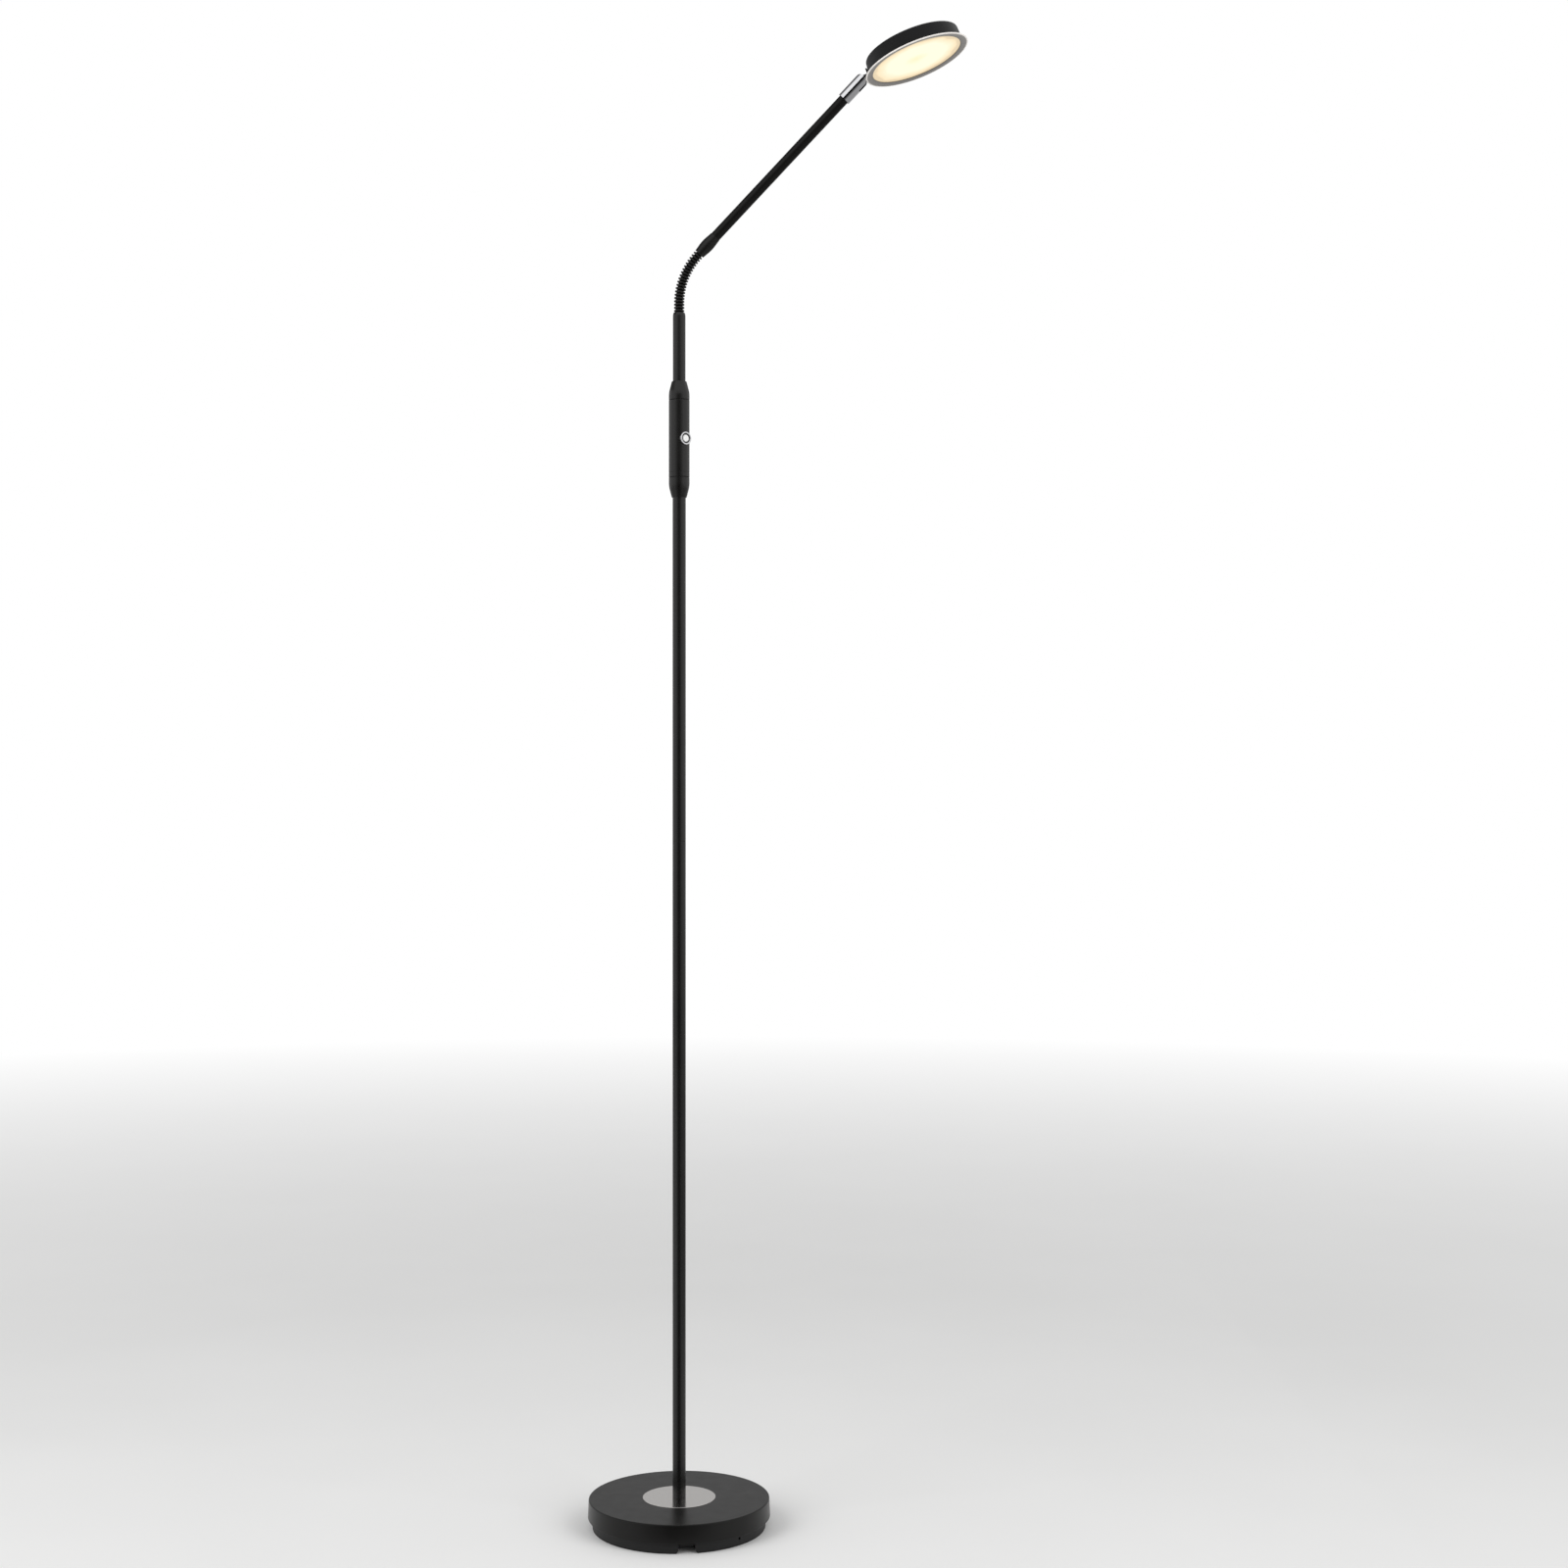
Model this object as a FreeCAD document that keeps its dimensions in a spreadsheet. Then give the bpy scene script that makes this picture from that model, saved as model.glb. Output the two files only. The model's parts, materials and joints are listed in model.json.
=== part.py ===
import FreeCAD, Part
import math
import os
import re

import Sketcher
from FreeCAD import Placement, Rotation, Vector

# Floor-standing reading lamp: a round weighted base, a three-piece pole, a switch housing,
# a short bending neck of nested rings, a straight arm and a round lamp head on a chrome knuckle.
# The origin is the middle of the foot on the floor, +Z is up and the arm leans towards +X.

SIZES = {
    # round base: pressed cover, iron weight, foot ring with the gap for the lead
    "foot_height": 12.0,
    "foot_radius": 95.0,
    "foot_wall": 3.0,
    "foot_flange_radius": 80.0,
    "foot_flange_thickness": 3.0,
    "foot_edge_round": 0.8,
    "lead_gap_top": 17.8,
    "lead_gap_flare": 2.2,
    "lead_gap_turn": -73.8,
    "cover_height": 20.0,
    "cover_radius": 100.0,
    "cover_draft": 0.8,
    "cover_wall": 2.5,
    "cover_top": 2.1,
    "cover_round": 1.3,
    "clip_window_side": 2.7,
    "clip_window_turn": -34.0,
    "weight_margin": 0.7,
    "lead_channel_width": 12.0,
    "lead_channel_depth": 8.0,
    "plate_thickness": 1.5,
    "plate_margin": 0.3,
    "disc_radius": 40.0,
    "disc_thickness": 1.2,
    "disc_seat_depth": 0.8,
    "disc_chamfer": 0.3,
    "part_clearance": 0.15,
    "grommet_bore": 3.2,
    "grommet_radius": 5.0,
    "grommet_lip": 1.4,
    "grommet_place": 70.0,
    # threaded stud, nut and washer that hold the pole to the base
    "stud_radius": 5.0,
    "stud_bore": 3.0,
    "stud_below_nut": 1.5,
    "stud_in_pole": 22.0,
    "stud_clearance": 0.3,
    "thread_clearance": 0.05,
    "nut_flats": 17.0,
    "nut_height": 5.0,
    "washer_radius": 11.0,
    "washer_thickness": 1.6,
    "nut_pocket_radius": 12.0,
    # pole
    "pole_radius": 7.25,
    "pole_wall": 1.0,
    "pole_seam_chamfer": 0.3,
    "lower_pole_length": 357.6,
    "middle_pole_length": 363.0,
    "upper_pole_length": 378.0,
    "pole_in_housing": 19.0,
    "coupler_length": 40.0,
    "coupler_wall": 1.7,
    "foot_insert_length": 20.0,
    # switch housing
    "housing_radius": 11.35,
    "housing_wall": 1.5,
    "housing_length": 85.0,
    "housing_seam_chamfer": 0.25,
    "housing_line_height": 5.0,
    "housing_line_depth": 0.3,
    "lower_cone_length": 22.0,
    "upper_cone_length": 20.5,
    "cone_slope_length": 12.2,
    "cone_end_radius": 8.2,
    "cone_shoulder_round": 50.0,
    "cone_bore_past_stop": 5.2,
    "tube_clearance": 0.1,
    "spigot_length": 5.0,
    # push button
    "button_rise": 42.0,
    "button_turn": -39.0,
    "bezel_radius": 7.2,
    "bezel_front": 12.7,
    "bezel_length": 6.0,
    "bezel_front_wall": 3.2,
    "bezel_round": 0.9,
    "cap_radius": 4.0,
    "cap_clearance": 0.1,
    "cap_proud": 0.5,
    "cap_round": 2.4,
    "cap_flange_radius": 5.5,
    "cap_flange_thickness": 0.9,
    "cap_flange_gap": 0.3,
    "stem_radius": 1.6,
    "stem_length": 4.0,
    "stem_clearance": 0.15,
    "stem_in_tact": 0.5,
    "tact_side": 6.0,
    "tact_height": 3.5,
    "tact_well_depth": 2.4,
    "board_side_gap": 0.25,
    "board_length": 62.0,
    "board_thickness": 1.6,
    "choke_radius": 4.0,
    "choke_height": 5.0,
    "chip_side": 6.5,
    "chip_height": 1.4,
    "board_part_spacing": 17.0,
    # tube above the switch housing
    "upper_tube_radius": 6.93,
    "upper_tube_wall": 1.0,
    "upper_tube_showing": 75.5,
    "upper_tube_in_cone": 15.0,
    "upper_tube_end_draw": 0.7,
    "upper_tube_end_taper": 2.6,
    # bending neck: nested rings, each turning a little on the one before
    "ring_pitch": 3.45,
    "straight_rings": 3,
    "rings_low": 7,
    "rings_sway": 6,
    "rings_top": 7,
    "ring_radius": 5.8,
    "ring_front": 0.75,
    "ring_gap": 1.0,
    "ring_bevel": 0.7,
    "ring_bore": 2.6,
    "nose_root_radius": 4.1,
    "nose_reach": 0.5,
    "mouth_radius": 4.6,
    "mouth_depth": 2.0,
    "neck_plug_length": 16.0,
    # arm
    "arm_lean": 45.0,
    "ferrule_length": 25.75,
    "ferrule_front_radius": 5.75,
    "ferrule_crest_radius": 7.45,
    "ferrule_crest_place": 12.5,
    "ferrule_end_radius": 6.0,
    "ferrule_round": 70.0,
    "arm_radius": 5.7,
    "arm_wall": 1.0,
    "arm_in_ferrule": 13.0,
    "arm_showing": 201.9,
    # chrome knuckle and its hinge
    "knuckle_radius": 7.2,
    "knuckle_to_pin": 24.8,
    "knuckle_spigot": 14.0,
    "knuckle_lead_bore": 2.0,
    "slot_behind_pin": 7.4,
    "hinge_radius": 2.0,
    "hinge_clearance": 0.05,
    "hinge_head_radius": 3.2,
    "hinge_head_height": 1.6,
    "hinge_head_sunk": 0.9,
    "hinge_blind_wall": 1.5,
    "hinge_tip_gap": 0.2,
    "hinge_washer_radius": 5.4,
    "hinge_washer_thickness": 0.36,
    "hinge_side_play": 0.04,
    "tongue_thickness": 4.2,
    "tongue_boss_radius": 6.0,
    "bracket_lift": 0.9,
    "bracket_foot_width": 15.0,
    "bracket_foot_height": 11.0,
    "bracket_foot_depth": 3.6,
    "bracket_screw_spacing": 9.4,
    "bracket_screw_head_height": 1.0,
    "bracket_screw_skin": 1.0,
    # lamp head; heights are counted from the front plane of the rim towards the back
    "head_tilt": 23.4,
    "rim_radius": 59.3,
    "rim_pin_gap": 7.3,
    "pin_behind_rim": 5.0,
    "rim_flange": 3.0,
    "rim_edge_front": 0.5,
    "rim_edge_draw": 0.7,
    "rim_lip_radius": 50.0,
    "rim_lip_height": 2.2,
    "rim_lip_thickness": 0.7,
    "rim_collar_wall": 0.8,
    "rim_collar_height": 7.0,
    "rim_edge_back": 0.6,
    "drum_radius": 53.2,
    "drum_wall": 1.2,
    "drum_back": 19.2,
    "drum_back_thickness": 2.0,
    "drum_draft": 0.8,
    "drum_round": 2.6,
    "diffuser_thickness": 1.8,
    "reflector_wall": 0.8,
    "reflector_draw": 3.5,
    "seat_gap": 0.1,
    "led_plate_radius": 49.5,
    "led_plate_thickness": 1.5,
    "led_plate_height": 14.2,
    "led_plate_lead_hole": 3.0,
    "boss_radius": 3.2,
    "boss_ring": 43.5,
    "boss_count": 3,
    "boss_skin": 0.8,
    "plate_screw_spare": 0.4,
    "led_length": 3.5,
    "led_width": 2.8,
    "led_height": 0.7,
    "led_inner_ring": 16.0,
    "led_inner_count": 8,
    "led_outer_ring": 34.0,
    "led_outer_count": 16,
    # screws
    "base_screw_radius": 1.6,
    "base_screw_head_radius": 3.6,
    "base_screw_head_height": 2.2,
    "base_screw_length": 12.0,
    "base_screw_ring": 86.0,
    "base_screw_count": 4,
    "base_screw_turn": 45.0,
    "small_screw_radius": 1.25,
    "small_screw_head_radius": 2.4,
    "small_screw_head_height": 1.5,
    "small_screw_clearance": 0.2,
}

os.makedirs("parts", exist_ok=True)
doc = FreeCAD.newDocument("reading_lamp")
sheet = doc.addObject("Spreadsheet::Sheet", "sizes")
for row, (alias, value) in enumerate(SIZES.items(), start=1):
    sheet.set(f"A{row}", alias)
    sheet.set(f"B{row}", str(value))
    sheet.setAlias(f"B{row}", alias)
doc.recompute()

nodes = []


def size(alias):
    """A driving size, read back from the sheet."""
    return float(sheet.get(alias))


def linked(formula):
    """The formula with each size's name pointed at its cell in the sheet."""
    return re.sub(r"[a-z_]+", lambda word: f"sizes.{word.group()}" if word.group() in SIZES else word.group(), formula)


def bind(thing, prop, formula):
    thing.setExpression(prop, linked(formula))


def keep(thing, label, where=Placement()):
    """Name a finished piece and put it in its place in the lamp."""
    thing.Label = label
    thing.Placement = where
    nodes.append(thing)
    return thing


# ---------------------------------------------------------------- sketches and features


def new_body(label, where=Placement()):
    return keep(doc.addObject("PartDesign::Body", label), label, where)


def origin_plane(body, role):
    return next(item for item in body.Origin.OriginFeatures if item.Role == role)


def new_sketch(body, role="XY_Plane", offset="0"):
    """A sketch on one of the body's own origin planes, moved along the plane's normal."""
    sketch = body.newObject("Sketcher::SketchObject", f"{body.Name}_sketch")
    sketch.AttachmentSupport = [(origin_plane(body, role), "")]
    sketch.MapMode = "FlatFace"
    bind(sketch, "AttachmentOffset.Base.z", offset)
    return sketch


def pin_corner(sketch, line, kind, formula, now):
    """Tie one coordinate of a line's first point to a formula; a leading minus sets it behind the origin."""
    if formula == "0":
        axis = -2 if kind == "DistanceX" else -1
        sketch.addConstraint(Sketcher.Constraint("PointOnObject", line, 1, axis))
        return
    ends = (line, 1, -1, 1) if formula.startswith("-") else (-1, 1, line, 1)
    index = sketch.addConstraint(Sketcher.Constraint(kind, *ends, abs(now)))
    bind(sketch, f"Constraints[{index}]", formula.removeprefix("-"))


def outline(sketch, corners):
    """A closed outline of straight lines through corners given as pairs of formulas."""
    count = len(corners)
    first = sketch.GeometryCount
    start = []
    for index, corner in enumerate(corners):
        turn = 2 * math.pi * index / count
        spread = (20 + 5 * math.cos(turn), 20 + 5 * math.sin(turn))
        signs = [0 if formula == "0" else -1 if formula.startswith("-") else 1 for formula in corner]
        start.append(Vector(spread[0] * signs[0], spread[1] * signs[1], 0))
    for index in range(count):
        sketch.addGeometry(Part.LineSegment(start[index], start[(index + 1) % count]), False)
    for index in range(count):
        sketch.addConstraint(
            Sketcher.Constraint("Coincident", first + index, 2, first + (index + 1) % count, 1)
        )
    for index, (across, up) in enumerate(corners):
        pin_corner(sketch, first + index, "DistanceX", across, start[index].x)
        pin_corner(sketch, first + index, "DistanceY", up, start[index].y)


def circle(sketch, radius, across="0", up="0"):
    """A circle of a bound radius about a bound centre."""
    index = sketch.GeometryCount
    centre = Vector(0 if across == "0" else 30, 0 if up == "0" else 30, 0)
    centre.x = -centre.x if across.startswith("-") else centre.x
    centre.y = -centre.y if up.startswith("-") else centre.y
    sketch.addGeometry(Part.Circle(centre, Vector(0, 0, 1), 5), False)
    number = sketch.addConstraint(Sketcher.Constraint("Radius", index, 5.0))
    bind(sketch, f"Constraints[{number}]", radius)
    for kind, formula, now in (("DistanceX", across, centre.x), ("DistanceY", up, centre.y)):
        if formula == "0":
            axis = -2 if kind == "DistanceX" else -1
            sketch.addConstraint(Sketcher.Constraint("PointOnObject", index, 3, axis))
            continue
        ends = (index, 3, -1, 1) if formula.startswith("-") else (-1, 1, index, 3)
        number = sketch.addConstraint(Sketcher.Constraint(kind, *ends, abs(now)))
        bind(sketch, f"Constraints[{number}]", formula.removeprefix("-"))


def turned(label, corners, where=Placement()):
    """A piece turned about its own Z axis from an outline of (radius, height) corners."""
    body = new_body(label, where)
    sketch = new_sketch(body, "XZ_Plane")
    outline(sketch, corners)
    spin = body.newObject("PartDesign::Revolution", f"{label}_turned")
    spin.Profile = sketch
    spin.ReferenceAxis = (sketch, ["V_Axis"])
    spin.Angle = 360.0
    doc.recompute()
    return body


def extrude(body, kind, sketch, length=None, both_ways=False, backwards=False):
    """Pad or pocket a sketch; without a length a pocket goes right through."""
    feature = body.newObject(kind, f"{body.Name}_{kind.split('::')[1].lower()}")
    feature.Profile = sketch
    feature.Reversed = backwards
    feature.Midplane = both_ways
    if length is None:
        feature.Type = "ThroughAll"
    else:
        bind(feature, "Length", length)
    doc.recompute()
    return feature


def pad(body, sketch, length, both_ways=False, backwards=False):
    return extrude(body, "PartDesign::Pad", sketch, length, both_ways, backwards)


def pocket(body, sketch, length=None, both_ways=False, backwards=False):
    """Cut a sketch out of the body, and make sure that it took material away."""
    before = body.Shape.Volume
    feature = extrude(body, "PartDesign::Pocket", sketch, length, both_ways, backwards)
    if body.Shape.Volume >= before - 1e-6:
        raise RuntimeError(f"a pocket in {body.Label} cuts nothing")
    return feature


def copies_round(body, features, count):
    """Repeat features evenly round the body's Z axis."""
    pattern = body.newObject("PartDesign::PolarPattern", f"{body.Name}_round")
    pattern.Originals = features
    pattern.Axis = (origin_plane(body, "Z_Axis"), [""])
    pattern.Angle = 360.0
    bind(pattern, "Occurrences", count)
    body.Tip = pattern
    doc.recompute()
    return pattern


def ring_edges(body, radius, height):
    """Names of the round edges at a radius and height on the body's own axis."""
    shape = body.Tip.Shape
    names = []
    for number, edge in enumerate(shape.Edges, start=1):
        curve = edge.Curve
        if not isinstance(curve, Part.Circle):
            continue
        on_axis = math.hypot(curve.Center.x, curve.Center.y) < 1e-4
        if on_axis and abs(curve.Radius - radius) < 1e-4 and abs(curve.Center.z - height) < 1e-4:
            names.append(f"Edge{number}")
    if not names:
        raise RuntimeError(f"{body.Label} has no round edge at {radius}, {height}")
    return names


def rounded(body, radius, height, amount):
    """Fillet the round edge at a radius and height."""
    base = body.Tip
    names = ring_edges(body, radius, height)
    fillet = body.newObject("PartDesign::Fillet", f"{body.Name}_fillet")
    fillet.Base = (base, names)
    bind(fillet, "Radius", amount)
    doc.recompute()
    return fillet


def nose_profile(start):
    """The hollow nose that the next ring of the neck rides on, from the height where it leaves its root."""
    return [("nose_root_radius", start), ("ring_bore", f"{start} + ring_gap + ring_front + nose_reach")]


def tube_corners(outer, inner, length, chamfer):
    """A tube whose outer edges are broken, so that a fine line shows where it meets the next."""
    return [
        (inner, "0"),
        (f"{outer} - {chamfer}", "0"),
        (outer, chamfer),
        (outer, f"{length} - {chamfer}"),
        (f"{outer} - {chamfer}", length),
        (inner, length),
    ]


def at_height(height, turn=0.0):
    return Placement(Vector(0, 0, height), Rotation(Vector(0, 0, 1), turn))


def rectangle(sketch, left, right, low, high):
    outline(sketch, [(left, low), (right, low), (right, high), (left, high)])


# ---------------------------------------------------------------- base

foot_top = size("foot_height")
gap_turn = size("lead_gap_turn")
bolt_across = "base_screw_ring * cos(base_screw_turn)"
bolt_up = "base_screw_ring * sin(base_screw_turn)"

ring_corners = [
    ("foot_radius - foot_wall", "0"),
    ("foot_radius", "0"),
    ("foot_radius", "foot_height"),
    ("foot_flange_radius", "foot_height"),
    ("foot_flange_radius", "foot_height - foot_flange_thickness"),
    ("foot_radius - foot_wall", "foot_height - foot_flange_thickness"),
]
foot_ring = turned("base_foot_ring", ring_corners, at_height(0, gap_turn))
rounded(foot_ring, size("foot_radius"), 0, "foot_edge_round")
hole_sketch = new_sketch(foot_ring)
circle(hole_sketch, "base_screw_radius + part_clearance", bolt_across, bolt_up)
copies_round(foot_ring, [pocket(foot_ring, hole_sketch, backwards=True)], "base_screw_count")
gap_sketch = new_sketch(foot_ring, "YZ_Plane", "foot_radius - foot_wall * 1.5")
gap_corners = [
    ("-(lead_gap_top / 2 + lead_gap_flare)", "0"),
    ("lead_gap_top / 2 + lead_gap_flare", "0"),
    ("lead_gap_top / 2", "foot_height"),
    ("-(lead_gap_top / 2)", "foot_height"),
]
outline(gap_sketch, gap_corners)
pocket(foot_ring, gap_sketch, "foot_wall * 2", backwards=True)
window_sketch = new_sketch(foot_ring, "YZ_Plane", "(foot_radius - foot_wall * 1.5) * cos(clip_window_turn)")
bind(window_sketch, "AttachmentOffset.Base.x", "(foot_radius - foot_wall * 1.5) * sin(clip_window_turn)")
window_sketch.AttachmentOffset = Placement(
    window_sketch.AttachmentOffset.Base, Rotation(Vector(0, 1, 0), size("clip_window_turn"))
)
window_top = "foot_height - foot_flange_thickness"
rectangle(window_sketch, "-(clip_window_side / 2)", "clip_window_side / 2", f"{window_top} - clip_window_side", window_top)
pocket(foot_ring, window_sketch, "foot_wall * 2", backwards=True)

cover_corners = [
    ("cover_radius - cover_wall", "0"),
    ("cover_radius", "0"),
    ("cover_radius - cover_draft", "cover_height"),
    ("disc_radius + part_clearance", "cover_height"),
    ("disc_radius + part_clearance", "cover_height - disc_seat_depth"),
    ("stud_radius + stud_clearance", "cover_height - disc_seat_depth"),
    ("stud_radius + stud_clearance", "cover_height - cover_top"),
    ("cover_radius - cover_draft - cover_wall", "cover_height - cover_top"),
]
cover = turned("base_cover", cover_corners, at_height(foot_top))
rounded(cover, size("cover_radius") - size("cover_draft"), size("cover_height"), "cover_round")

weight_radius = "cover_radius - cover_draft - cover_wall - weight_margin"
nut_pocket_depth = "stud_below_nut + nut_height + washer_thickness"
weight_corners = [
    ("nut_pocket_radius", "0"),
    (weight_radius, "0"),
    (weight_radius, "cover_height - cover_top"),
    ("stud_radius + stud_clearance", "cover_height - cover_top"),
    ("stud_radius + stud_clearance", nut_pocket_depth),
    ("nut_pocket_radius", nut_pocket_depth),
]
weight = turned("base_weight", weight_corners, at_height(foot_top, gap_turn))
hole_sketch = new_sketch(weight)
circle(hole_sketch, "base_screw_radius + thread_clearance", bolt_across, bolt_up)
hole = pocket(weight, hole_sketch, "base_screw_length", backwards=True)
copies_round(weight, [hole], "base_screw_count")
channel_sketch = new_sketch(weight)
channel_end = "grommet_place + lead_channel_width / 2"
half_channel = "lead_channel_width / 2"
rectangle(channel_sketch, "0", channel_end, f"-({half_channel})", half_channel)
pocket(weight, channel_sketch, "lead_channel_depth", backwards=True)

plate_height = foot_top - size("foot_flange_thickness") - size("plate_thickness")
plate = new_body("base_bottom_plate", at_height(plate_height, gap_turn))
plate_sketch = new_sketch(plate)
circle(plate_sketch, "foot_radius - foot_wall - plate_margin")
circle(plate_sketch, "grommet_radius + part_clearance", "grommet_place")
pad(plate, plate_sketch, "plate_thickness")
hole_sketch = new_sketch(plate)
circle(hole_sketch, "base_screw_radius + part_clearance", bolt_across, bolt_up)
copies_round(plate, [pocket(plate, hole_sketch, backwards=True)], "base_screw_count")

screws = new_body("base_screws", at_height(plate_height - size("base_screw_head_height"), gap_turn))
head_sketch = new_sketch(screws)
circle(head_sketch, "base_screw_head_radius", bolt_across, bolt_up)
head = pad(screws, head_sketch, "base_screw_head_height")
shank_sketch = new_sketch(screws, offset="base_screw_head_height")
circle(shank_sketch, "base_screw_radius", bolt_across, bolt_up)
shank = pad(screws, shank_sketch, "base_screw_length")
copies_round(screws, [head, shank], "base_screw_count")

grommet_corners = [
    ("grommet_bore", "0"),
    ("grommet_radius + grommet_lip", "0"),
    ("grommet_radius + grommet_lip", "grommet_lip"),
    ("grommet_radius", "grommet_lip"),
    ("grommet_radius", "grommet_lip + plate_thickness"),
    ("grommet_radius + grommet_lip", "grommet_lip + plate_thickness"),
    ("grommet_radius + grommet_lip", "grommet_lip * 2 + plate_thickness"),
    ("grommet_bore", "grommet_lip * 2 + plate_thickness"),
]
grommet_place = at_height(plate_height - size("grommet_lip"), gap_turn)
grommet_place = grommet_place.multiply(Placement(Vector(size("grommet_place"), 0, 0), Rotation()))
turned("cord_grommet", grommet_corners, grommet_place)

seat_height = foot_top + size("cover_height") - size("disc_seat_depth")
disc_corners = [
    ("stud_radius + stud_clearance", "0"),
    ("disc_radius", "0"),
    ("disc_radius", "disc_thickness - disc_chamfer"),
    ("disc_radius - disc_chamfer", "disc_thickness"),
    ("stud_radius + stud_clearance", "disc_thickness"),
]
turned("base_disc", disc_corners, at_height(seat_height))

# ---------------------------------------------------------------- stud and pole

pole_foot = seat_height + size("disc_thickness")
stud_length = "cover_height - disc_seat_depth + disc_thickness + stud_in_pole"
stud_corners = [("stud_bore", "0"), ("stud_radius", "0"), ("stud_radius", stud_length), ("stud_bore", stud_length)]
turned("foot_stud", stud_corners, at_height(foot_top))

nut = new_body("foot_nut", at_height(foot_top + size("stud_below_nut")))
nut_sketch = new_sketch(nut)
flat, corner = "nut_flats / 2", "nut_flats / 2 * tan(30)"
hexagon = [
    (f"-({flat})", f"-({corner})"),
    ("0", "-(nut_flats / 2 / cos(30))"),
    (flat, f"-({corner})"),
    (flat, corner),
    ("0", "nut_flats / 2 / cos(30)"),
    (f"-({flat})", corner),
]
outline(nut_sketch, hexagon)
circle(nut_sketch, "stud_radius + thread_clearance")
pad(nut, nut_sketch, "nut_height")

washer_corners = [
    ("stud_radius + stud_clearance", "0"),
    ("washer_radius", "0"),
    ("washer_radius", "washer_thickness"),
    ("stud_radius + stud_clearance", "washer_thickness"),
]
turned("foot_washer", washer_corners, at_height(foot_top + size("stud_below_nut") + size("nut_height")))

pole_bore = "pole_radius - pole_wall"
insert_corners = [
    ("stud_radius + thread_clearance", "0"),
    (f"{pole_bore} - thread_clearance", "0"),
    (f"{pole_bore} - thread_clearance", "foot_insert_length"),
    ("stud_radius + thread_clearance", "foot_insert_length"),
]
turned("pole_foot_insert", insert_corners, at_height(pole_foot))

first_seam = pole_foot + size("lower_pole_length")
second_seam = first_seam + size("middle_pole_length")
housing_foot = second_seam + size("upper_pole_length")
pole_lengths = {
    "pole_lower": (pole_foot, "lower_pole_length"),
    "pole_middle": (first_seam, "middle_pole_length"),
    "pole_upper": (second_seam, "upper_pole_length + pole_in_housing"),
}
for label, (height, length) in pole_lengths.items():
    turned(label, tube_corners("pole_radius", pole_bore, length, "pole_seam_chamfer"), at_height(height))

coupler_corners = [
    (f"{pole_bore} - coupler_wall", "0"),
    (f"{pole_bore} - thread_clearance", "0"),
    (f"{pole_bore} - thread_clearance", "coupler_length"),
    (f"{pole_bore} - coupler_wall", "coupler_length"),
]
couplers = turned("pole_couplers", coupler_corners, at_height(first_seam - size("coupler_length") / 2))
pair = couplers.newObject("PartDesign::LinearPattern", "couplers_pair")
pair.Originals = [couplers.Tip]
pair.Direction = (origin_plane(couplers, "Z_Axis"), [""])
bind(pair, "Length", "middle_pole_length")
pair.Occurrences = 2
couplers.Tip = pair

# ---------------------------------------------------------------- switch housing

housing_bore = "housing_radius - housing_wall"
spigot_radius = f"{housing_bore} - part_clearance"
housing_height = housing_foot + size("lower_cone_length")
housing_top = housing_height + size("housing_length")

lower_cone_corners = [
    ("pole_radius + tube_clearance", "0"),
    ("cone_end_radius", "0"),
    ("housing_radius", "cone_slope_length"),
    ("housing_radius", "lower_cone_length - housing_seam_chamfer"),
    ("housing_radius - housing_seam_chamfer", "lower_cone_length"),
    (spigot_radius, "lower_cone_length"),
    (spigot_radius, "lower_cone_length + spigot_length"),
    ("cone_bore_past_stop", "lower_cone_length + spigot_length"),
    ("cone_bore_past_stop", "pole_in_housing"),
    ("pole_radius + tube_clearance", "pole_in_housing"),
]
lower_cone = turned("switch_lower_cone", lower_cone_corners, at_height(housing_foot))
rounded(lower_cone, size("housing_radius"), size("cone_slope_length"), "cone_shoulder_round")

line_end = "housing_line_height + housing_line_depth * 2"
housing_corners = [
    (housing_bore, "0"),
    ("housing_radius - housing_seam_chamfer", "0"),
    ("housing_radius", "housing_seam_chamfer"),
    ("housing_radius", "housing_line_height"),
    ("housing_radius - housing_line_depth", "housing_line_height"),
    ("housing_radius - housing_line_depth", line_end),
    ("housing_radius", line_end),
    ("housing_radius", "housing_length - housing_seam_chamfer"),
    ("housing_radius - housing_seam_chamfer", "housing_length"),
    (housing_bore, "housing_length"),
]
housing = turned("switch_body", housing_corners, at_height(housing_height, size("button_turn")))
hole_sketch = new_sketch(housing, "YZ_Plane")
circle(hole_sketch, "bezel_radius + part_clearance", "0", "button_rise")
pocket(housing, hole_sketch, backwards=True)

cone_foot = "spigot_length + upper_cone_length"
tube_stop = f"{cone_foot} - upper_tube_in_cone"
upper_cone_corners = [
    ("cone_bore_past_stop", "0"),
    (spigot_radius, "0"),
    (spigot_radius, "spigot_length"),
    ("housing_radius - housing_seam_chamfer", "spigot_length"),
    ("housing_radius", "spigot_length + housing_seam_chamfer"),
    ("housing_radius", f"{cone_foot} - cone_slope_length"),
    ("cone_end_radius", cone_foot),
    ("upper_tube_radius + tube_clearance", cone_foot),
    ("upper_tube_radius + tube_clearance", tube_stop),
    ("cone_bore_past_stop", tube_stop),
]
upper_cone = turned("switch_upper_cone", upper_cone_corners, at_height(housing_top - size("spigot_length")))
shoulder = size("spigot_length") + size("upper_cone_length") - size("cone_slope_length")
rounded(upper_cone, size("housing_radius"), shoulder, "cone_shoulder_round")


def at_button(reach):
    """A place on the button's own axis, which leaves the pole's axis square to it; +Z points outwards."""
    turn = math.radians(size("button_turn"))
    outward = Vector(math.cos(turn), math.sin(turn), 0)
    upward = Vector(0, 0, 1)
    middle = outward * reach + upward * (housing_height + size("button_rise"))
    return Placement(middle, Rotation(upward.cross(outward), upward, outward, "ZYX"))


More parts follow.
